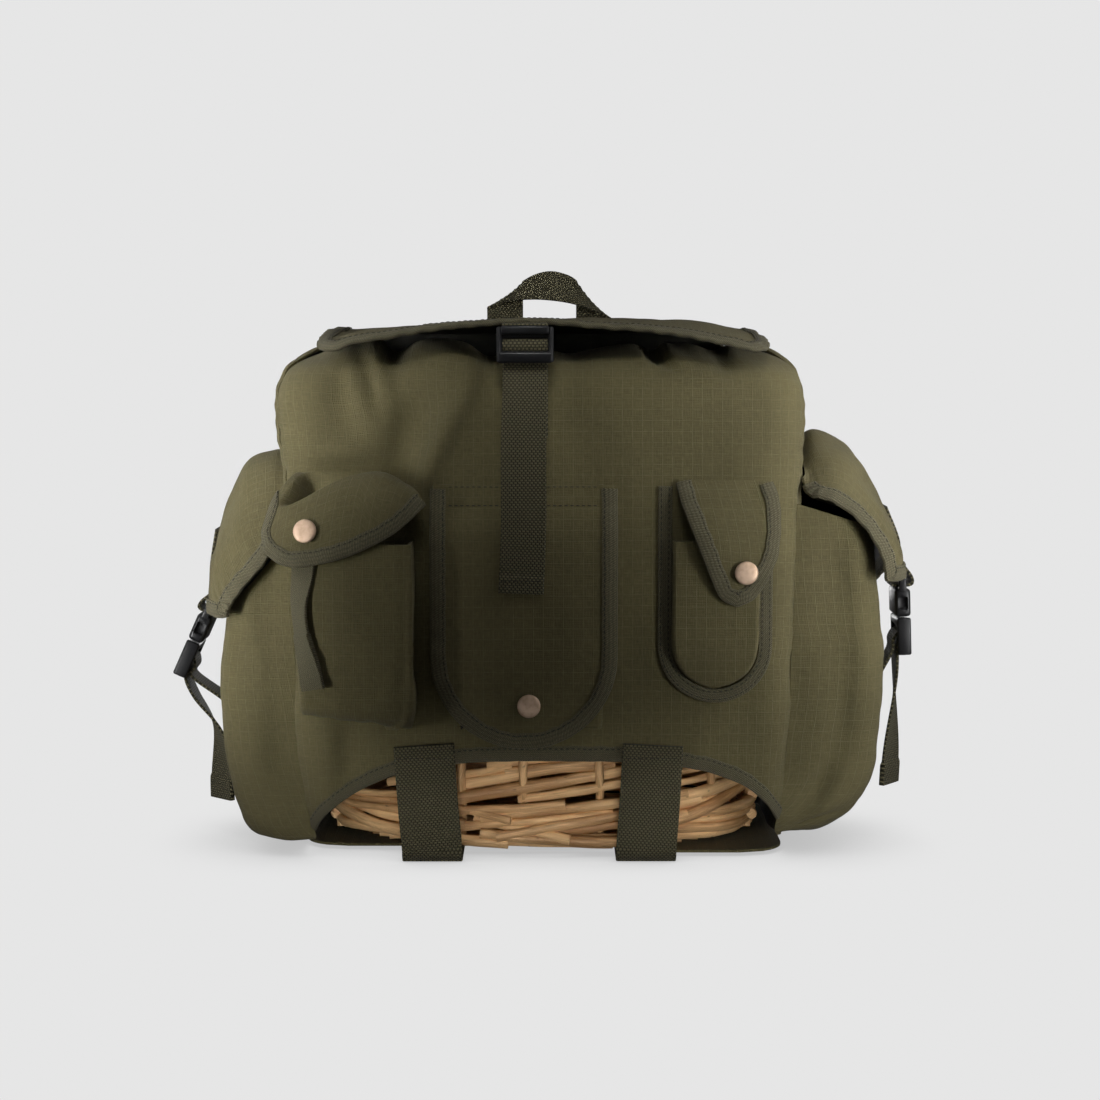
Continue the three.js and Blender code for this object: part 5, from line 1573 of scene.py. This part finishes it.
def pick_faces(piece, chosen):
    """Selects the faces whose height is chosen, and goes on editing."""
    bpy.ops.mesh.select_all(action="DESELECT")
    stop_editing()
    for face in piece.data.polygons:
        face.select = chosen(face.center.z)
    bpy.ops.object.mode_set(mode="EDIT")


def add_snap(name, place, share, facing):
    u, v = np.array([share[0]]), np.array([share[1]])
    normal = facing * surface_normals(place, u, v)[0]
    seat = place(u, v)[0] + normal * SNAP["gap"]
    low, high = SNAP["low"] * MM, SNAP["high"] * MM
    clear_selection()
    bpy.ops.mesh.primitive_cylinder_add(vertices=SNAP["sides"], radius=SNAP["radius"] * MM,
                                        depth=(SNAP["high"] - SNAP["low"]) * MM)
    snap = bpy.context.object
    start_editing()
    bpy.ops.transform.translate(value=(0, 0, (SNAP["low"] + SNAP["high"]) / 2 * MM))
    pick_faces(snap, lambda z: z > high - SNAP["near"] * MM)
    bpy.ops.mesh.select_mode(type="FACE")
    for inset, rise in SNAP_CROWN:
        bpy.ops.mesh.inset(thickness=inset * MM, depth=0)
        bpy.ops.transform.translate(value=(0, 0, rise * MM))
    pick_faces(snap, lambda z: z < low + SNAP["near"] * MM)
    bpy.ops.mesh.inset(thickness=(SNAP["radius"] - SNAP["post"]) * MM, depth=0)
    bpy.ops.mesh.extrude_region_move(TRANSFORM_OT_translate={"value": (0, 0, -low)})
    stop_editing()
    turn = Vector((0, 0, 1)).rotation_difference(Vector(normal)).to_matrix().to_4x4()
    snap.data.transform(Matrix.Translation(Vector(seat * MM)) @ turn)
    give_finish(snap, name, ("brass",))
    soften(snap, 55)
    carry(snap, name)


# Pockets on the front


def bellows_place(u, v):
    return front_pouch_place(BELLOWS_ROWS, BELLOWS, u, v)


BELLOWS_FOLDS = [
    (-90, 108, 10, 12, 2.2, 70), (-140, 106, 8, 9, -2.6, 60), (-112, 116, 22, 10, -1.6, 80),
    (-86, 122, 14, 6, -2.0, 10), (-120, 175, 30, 10, 0.8, 10), (-100, 160, 40, 8, -0.8, -4),
]


def bellows_relief(points, u, v):
    x, z = points[:, 0], points[:, 2]
    ridge = BELLOWS_RIDGE
    edge = np.abs(np.abs(2 * u - 1) - ridge["at"]) * ridge["half"]
    raised = ridge["height"] * np.exp(-((edge / ridge["width"]) ** 2)) * (u > 0.5)
    bottom = pucker(v * BELLOWS_TALL, x, "bellows")
    return fold_height(BELLOWS_FOLDS, x, z) + raised + crumple(points, "bellows") + bottom


def bellows_flap_relief(points, u, v):
    hollow = BELLOWS_HOLLOW
    left, right = hollow["left"], hollow["right"]
    brink = mix(left[1], right[1], (u - left[0]) / (right[0] - left[0]))
    inside = smooth(brink - v, 0, hollow["brink"]) * smooth(v, 0, hollow["hinge"])
    inside = inside * smooth(u, left[0] - hollow["left_before"], left[0] + hollow["left_after"])
    edge = from_free_edge("bellows_flap", u, v)
    gathers = pucker(edge, u * FLAPS["bellows_flap"][0], "bellows_flap")
    return flap_softness("bellows_flap", points, v) - hollow["depth"] * inside + gathers


def add_pull_tab():
    front = BELLOWS["lift"] + BELLOWS_ROWS[4][2] + SEAM / 2 + WEBBING / 2
    line = smooth_line([on_front(x, z, front) for x, z in PULL_TAB_LINE], STRAP_STEP)
    left, right, z = PULL_TAB_FACE
    lean = unit(on_front(right, z, 0) - on_front(left, z, 0))
    share = np.linspace(0, 1, len(line))
    twist = stack(0 * share, -PULL_TAB["twist"] * np.sin(math.pi * share) ** 2, 0 * share)
    lay_strap("pull_tab", line, lean + twist, PULL_TAB["width"], hem=PULL_TAB["hem"], finish="tape")


def add_bellows():
    lay_cloth("bellows_pocket", bellows_place, 140, 90, 1, bellows_relief, level=True)
    stations = edge_stations(bellows_flap_place, 90, 0.5, False, 16)
    flap, trim = add_flap("bellows_flap", "bellows_{}", bellows_flap_place, 110, 70, -1, bellows_flap_relief,
                          stations)
    add_snap("bellows_snap", bellows_flap_place, BELLOWS_SNAP, -1)
    add_pull_tab()


def centre_place(u, v):
    return front_pouch_place(CENTRE_ROWS, CENTRE, u, v)


def centre_relief(points, u, v):
    return crumple(points, "centre")


def centre_flap_relief(points, u, v):
    edge = from_free_edge("centre_flap", u, v)
    hem = seam_roll(np.abs(points[:, 2] - CENTRE_FLAP["top"] + CENTRE_FLAP["hem"]), *CENTRE_HEM_ROLL)
    gathers = pucker(edge, points[:, 2] + points[:, 0], "centre_flap")
    return flap_softness("centre_flap", points, v) + hem + gathers + seam_roll(edge, *CENTRE_EDGE_ROLL)


def centre_rows():
    """The two lines of stitches across the top of the flap."""
    rows = []
    for share in CENTRE_ROW_SHARES:
        u, v = np.linspace(0.08, 0.92, 40), np.full(40, share)
        out = -surface_normals(centre_flap_place, u, v)
        rows.append((centre_flap_place(u, v) + out * 0.2, out))
    return rows


def add_centre():
    lay_cloth("centre_pocket", centre_place, 80, 60, 1, centre_relief, level=True)
    stations = edge_stations(centre_flap_place, 90, 0.012)
    flap, trim = add_flap("centre_flap", "centre_{}", centre_flap_place, 80, 110, -1, centre_flap_relief,
                          stations, [0, 2], centre_rows())
    add_snap("centre_snap", centre_flap_place, CENTRE_SNAP, -1)


def sheath_place(u, v):
    return front_pouch_place(SHEATH_ROWS, SHEATH, u, v)


def sheath_relief(points, u, v):
    return crumple(points, "sheath")


def sheath_flap_relief(points, u, v):
    gathers = pucker(from_free_edge("sheath_flap", u, v), points[:, 2], "sheath_flap")
    return flap_softness("sheath_flap", points, v) + gathers


def sheath_tape_line():
    tape = SHEATH_TAPE
    turn = np.linspace(0, math.pi, tape["bend_steps"])
    x = SHEATH["x"] - tape["half"] * np.cos(turn)
    z = tape["bend"] - tape["half"] * np.sin(turn)
    left = np.linspace(tape["left_top"], tape["bend"], tape["left_steps"])[:-1]
    right = np.linspace(tape["bend"], tape["right_top"], tape["right_steps"])[1:]
    x = np.concatenate([np.full(len(left), x[0]), x, np.full(len(right), x[-1])])
    return x, np.concatenate([left, z, right])


# The tape's section: across and out, as shares of its half width and half thickness
SHEATH_TAPE_SECTION = [
    (-1, 0.75), (-0.5, 1), (0.5, 1), (1, 0.8), (1.08, 0), (1, -0.8), (0.5, -1), (-0.5, -1), (-1, -0.8),
    (-1.08, 0),
]


def add_sheath_tape():
    x, z = sheath_tape_line()
    line = on_front(x, z, SEAM + SHEATH["tape_thick"] / 2)
    face = np.cross(on_front(x + 1, z, 0) - on_front(x - 1, z, 0), [0, 0, 1.0])
    tangent = unit(np.gradient(line, axis=0))
    across = unit(np.cross(tangent, face))
    normal = unit(face)
    wide, thick = SHEATH["tape_width"] / 2, SHEATH["tape_thick"] / 2
    a, b = np.array(SHEATH_TAPE_SECTION).T
    rings = line[:, None] + across[:, None] * (a * wide)[None, :, None]
    rings = rings + normal[:, None] * (b * thick)[None, :, None]
    reach = lengths_along(line)
    carry(join_rings("sheath_binding", "tape", rings, a * wide, reach), "sheath_binding")
    face = line + normal * (thick + STITCH["lift"])
    inset = wide * SHEATH_TAPE["stitch_at"]
    return [(face + across * shift, normal) for shift in (-inset, inset)]


def add_sheath():
    lay_cloth("sheath_pocket", sheath_place, 70, 70, 1, sheath_relief, level=True)
    stations = edge_stations(sheath_flap_place, 70, 0.02)
    flap, trim = add_flap("sheath_flap", "sheath_flap_{}", sheath_flap_place, 60, 80, -1, sheath_flap_relief,
                          stations)
    sew("sheath_stitches", add_sheath_tape())
    add_snap("sheath_snap", sheath_flap_place, SHEATH_SNAP, -1)


# Side pockets


# Folds on the pockets' corners towards the front, laid out like those of the front panel
POCKET_FOLDS = [
    (175, 46, 26, 8, -5, 27), (173, 24, 13, 2.2, -2.2, 67), (178, 34, 14, 6, 2.4, 62),
    (192, 110, 40, 10, -2, 4), (-180, 36, 12, 9, -2, 40), (-192, 130, 40, 9, -2, -6),
    (-180, 70, 34, 10, 2, -10), (-176, 168, 22, 8, -2, 24),
]


def side_pocket_relief(points, u, v):
    y, z = points[:, 1], points[:, 2]
    folds = fold_height(POCKET_FOLDS, points[:, 0], z) * smooth(-y, *POCKET_FRONT)
    edge = from_sides(u, CLOTH_WIDTH["side_pocket"])
    tucks = uneven_waves(y, *POCKET_TUCKS) * np.exp(-v * POCKET_TUCK_FADE["tall"] / POCKET_TUCK_FADE["reach"])
    soft = crumple(points, "side_pocket") * smooth(edge, 0, POCKET_HELD)
    return folds + tucks + soft + pucker(edge, z, "side_pocket")


def side_flap_relief(points, u, v):
    wide, long, _ = FLAPS["side_flap"]
    gathers = pucker(from_free_edge("side_flap", u, v), u * wide + v * long, "side_flap")
    return flap_softness("side_flap", points, v) + gathers


def add_side_buckle(name, setup):
    side, tilt = setup["side"], math.radians(setup["tilt"])
    out = np.array([side * math.cos(tilt), 0, math.sin(tilt)])
    up = np.array([-side * math.sin(tilt), 0, math.cos(tilt)])
    middle = np.array([side * setup["out"], SIDE_POCKET["y"], setup["z"]])
    across = np.cross(up, out)

    def at(far, high):
        return middle + out * far + up * high

    add_socket(f"buckle_socket_{name}", middle, across, out)
    add_plug(f"buckle_plug_{name}", at(0, BUCKLE["plug_middle"]), across, out)
    sewn = SEAM + WEBBING / 2
    over_tape = sewn + TAPE_GAP + TAPE + SEAM
    sewn_v, tape_v, lip_v = FLAP_STRAP_SHARES
    half = np.array([0.5])
    upper = [
        side_flap_place(setup, half, np.array([v]))[0] + np.array([side * far, 0, 0])
        for v, far in ((sewn_v, sewn + SEAM), (tape_v, over_tape), (lip_v, over_tape))
    ]
    upper += [at(far, high) for far, high in ROUND_SOCKET_BAR]
    lay_strap(f"flap_strap_{name}", smooth_line(upper, STRAP_STEP), (0, 1, 0), BUCKLE["webbing"])
    lower = [
        side_pocket_place(setup, half, np.array([v]))[0] + np.array([side * sewn, 0, 0])
        for v in BUCKLE_STRAP_SHARES
    ]
    thread = [at(far, high + BUCKLE["plug_middle"]) for far, high in THREAD]
    tail = [thread[-1] + np.array([-side * inwards, 0, -down]) for down, inwards in setup["tail"]]
    line = smooth_line(lower + thread + tail, STRAP_STEP)
    from_end = lengths_along(line[::-1])[::-1]
    settled = smooth(from_end, BUCKLE_TAIL_STRAIGHT, setup["tail"][-1][0])
    turn = math.radians(setup["tail_turn"]) * (1 - settled)
    across = stack(side * np.sin(turn), np.cos(turn), 0 * turn)
    lay_strap(f"buckle_strap_{name}", line, across, BUCKLE["webbing"], hem=BUCKLE_TAIL_HEM)


def add_side_pockets():
    for name, setup in SIDES.items():
        side = setup["side"]

        def pocket_place(u, v, setup=setup):
            return side_pocket_place(setup, u, v)

        def flap_place(u, v, setup=setup):
            return side_flap_place(setup, u, v)

        lay_cloth(f"side_pocket_{name}", pocket_place, 140, 100, 1, side_pocket_relief, level=True)
        stations = edge_stations(flap_place, 90, 0.09)
        trim_names = "side_flap_{}_" + name
        flap, trim = add_flap(f"side_flap_{name}", trim_names, flap_place, 90, 90, -side, side_flap_relief,
                              stations)
        add_side_buckle(name, setup)


# Shoulder straps on the back

# The pad's section: across and out, as shares of its half width and half thickness
PAD_SECTION = [
    (1, 0), (0.985, 0.45), (0.9, 0.72), (0.8, 0.8), (0.55, 1), (0, 1.06), (-0.55, 1), (-0.8, 0.8),
    (-0.9, 0.72), (-0.985, 0.45), (-1, 0), (-0.985, -0.45), (-0.9, -0.72), (-0.8, -0.8), (-0.55, -1),
    (0, -1.06), (0.55, -1), (0.8, -0.8), (0.9, -0.72), (0.985, -0.45),
]


def add_shoulder_strap(name, side):
    line = smooth_line([(side * x, y, z) for x, y, z in SHOULDER_LINE], 3)
    tangent = unit(np.gradient(line, axis=0))
    normal = unit(np.cross([1.0, 0, 0], tangent))
    a, b = np.array(PAD_SECTION).T
    reach = lengths_along(line)
    end = np.minimum(reach, reach[-1] - reach)
    plump = mix(SHOULDER["end_plump"], 1.0, smooth(end, 0, SHOULDER["end"]))
    plump = plump + SHOULDER["ripple"] * np.sin(reach / SHOULDER["ripple_length"])
    rings = line[:, None] + np.array([1.0, 0, 0]) * (a * SHOULDER["width"] / 2)[None, :, None]
    rings = rings + normal[:, None] * (plump[:, None] * b * SHOULDER["thick"] / 2)[:, :, None]
    around = lengths_along(np.stack([a * SHOULDER["width"] / 2, b * SHOULDER["thick"] / 2], axis=-1))
    pad = join_rings(f"shoulder_strap_{name}", "canvas", rings, around, reach)
    soften(pad, 70)
    carry(pad, f"shoulder_strap_{name}")
    lines = []
    for edge in (-SHOULDER_STITCHES["at"], SHOULDER_STITCHES["at"]):
        row = line + np.array([1.0, 0, 0]) * edge * SHOULDER["width"] / 2
        row = row + normal * (plump * SHOULDER_STITCHES["high"] * SHOULDER["thick"] / 2)[:, None]
        lines.append((row, normal))
    sew(f"shoulder_stitches_{name}", lines)
    return line


def add_shoulder_webbing(name, side, line):
    lean = math.radians(SLIDER["lean"])
    out = np.array([0, math.cos(lean), -math.sin(lean)])
    up = np.array([0, math.sin(lean), math.cos(lean)])
    middle = np.array([side * SLIDER["x"], SLIDER["y"], SLIDER["z"]])

    def at(far, high):
        return middle + out * far + up * high

    slider = plate_with_slots(SLIDER["width"], SLIDER["thick"], SLIDER_BARS, SLIDER["side"])
    round_edges(slider, 0.4)
    set_in_place(slider, f"strap_slider_{name}", middle, np.cross(up, out), out)
    tip = line[-1] + unit(line[-1] - line[-2]) * SEAM
    sewn = SEAM + WEBBING / 2
    under, enter = THREAD[9], THREAD[8]
    route = [tip, at(under[0], -under[1]), at(enter[0], -enter[1])]
    route += [at(far, high) for far, high in THREAD[3:]]
    route += [(side * x, section(BACK, z) + sewn + lift, z) for x, z, lift in SHOULDER_ANCHOR]
    lay_strap(f"shoulder_webbing_{name}", smooth_line(route, STRAP_STEP), (1, 0, 0), SHOULDER_WEBBING_WIDTH)


def add_shoulder_straps():
    for name, setup in SIDES.items():
        line = add_shoulder_strap(name, setup["side"])
        add_shoulder_webbing(name, setup["side"], line)


# Floor, light and camera

CAMERA = {"place": (4.3, -1595, 335), "aim": (4.3, -95, 198), "lens": 79, "sensor": 36, "far": 100}
BACKDROP = 0.791
FLOOR = {"size": 60, "shade": 0.62, "shade_reach": 0.07, "cast_glow": 0.06}
# Soft boxes: place, aim, width, height, power in watts, spread in degrees
SOFT_BOXES = [
    ((0, -1500, 900), (0, -90, 200), 1.2, 0.8, 0.8, 180),
    ((-440, -130, 450), (-60, -60, 210), 0.25, 0.4, 0.64, 180),
    ((440, -170, 450), (60, -60, 210), 0.25, 0.4, 0.7, 180),
    ((-420, -330, 200), (-205, -80, 225), 0.15, 0.3, 0.205, 30),
    ((420, -330, 200), (205, -80, 225), 0.15, 0.3, 0.205, 45),
    ((0, -520, 640), (0, -90, 310), 0.5, 0.1, 0.085, 24),
    ((0, -430, 30), (0, -90, 26), 0.55, 0.05, 0.058, 26),
    ((0, 1500, 200), (0, 90, 190), 1.2, 0.35, 9.0, 180),
]
SKY_DIM = 0.02


def seen_by_camera(tree):
    return tree.nodes.new("ShaderNodeLightPath").outputs["Is Camera Ray"]


def pick(tree, seen, otherwise, when_seen):
    inputs = {0: seen, 2: otherwise, 3: when_seen}
    return add_node(tree, "ShaderNodeMix", inputs, data_type="FLOAT").outputs[0]


def floor_finish():
    """Plain and even to the camera but for a soft shadow close to the bag."""
    finish, tree, shader = start_finish("pale_floor")
    shader.inputs["Base Color"].default_value = (0, 0, 0, 1)
    shader.inputs["Roughness"].default_value = 1.0
    shader.inputs["Specular IOR Level"].default_value = 0.0
    shader.inputs["Emission Color"].default_value = (1, 1, 1, 1)
    near = add_node(tree, "ShaderNodeAmbientOcclusion", {"Distance": FLOOR["shade_reach"]}, samples=16)
    seen = remap(tree, near.outputs["AO"], 0.0, 1.0, BACKDROP * FLOOR["shade"], BACKDROP)
    feed(tree, shader.inputs["Emission Strength"], pick(tree, seen_by_camera(tree), FLOOR["cast_glow"], seen))
    return finish


def add_floor():
    clear_selection()
    bpy.ops.mesh.primitive_grid_add(x_subdivisions=4, y_subdivisions=4, size=FLOOR["size"])
    floor = bpy.context.object
    floor.name = "floor"
    floor.data.materials.append(floor_finish())


def add_sky():
    world = bpy.data.worlds.new("studio")
    bpy.context.scene.world = world
    world.use_nodes = True
    tree = world.node_tree
    feed(tree, tree.nodes["Background"].inputs["Color"], pick(tree, seen_by_camera(tree), SKY_DIM, BACKDROP))


def add_soft_boxes():
    for place, aim, width, height, power, spread in SOFT_BOXES:
        light = bpy.data.lights.new("soft_box", "AREA")
        light.shape = "RECTANGLE"
        light.size = width
        light.size_y = height
        light.energy = power
        light.spread = math.radians(spread)
        lamp = bpy.data.objects.new("soft_box", light)
        bpy.context.collection.objects.link(lamp)
        lamp.visible_camera = False
        lamp.location = Vector(place) * MM
        lamp.rotation_euler = (Vector(aim) - Vector(place)).to_track_quat("-Z", "Y").to_euler()


def add_camera():
    camera = bpy.data.objects.new("camera", bpy.data.cameras.new("camera"))
    bpy.context.collection.objects.link(camera)
    place, aim = Vector(CAMERA["place"]) * MM, Vector(CAMERA["aim"]) * MM
    camera.location = place
    camera.rotation_euler = (aim - place).to_track_quat("-Z", "Y").to_euler()
    camera.data.lens = CAMERA["lens"]
    camera.data.sensor_width = CAMERA["sensor"]
    camera.data.clip_end = CAMERA["far"]
    bpy.context.scene.camera = camera


bpy.context.scene.view_settings.view_transform = "Standard"
add_camera()
add_sky()
add_soft_boxes()
add_floor()
add_panels()
add_basket()
add_basket_straps()
add_lid()
add_lid_strap()
add_lock()
add_handle()
add_bellows()
add_centre()
add_sheath()
add_side_pockets()
add_shoulder_straps()
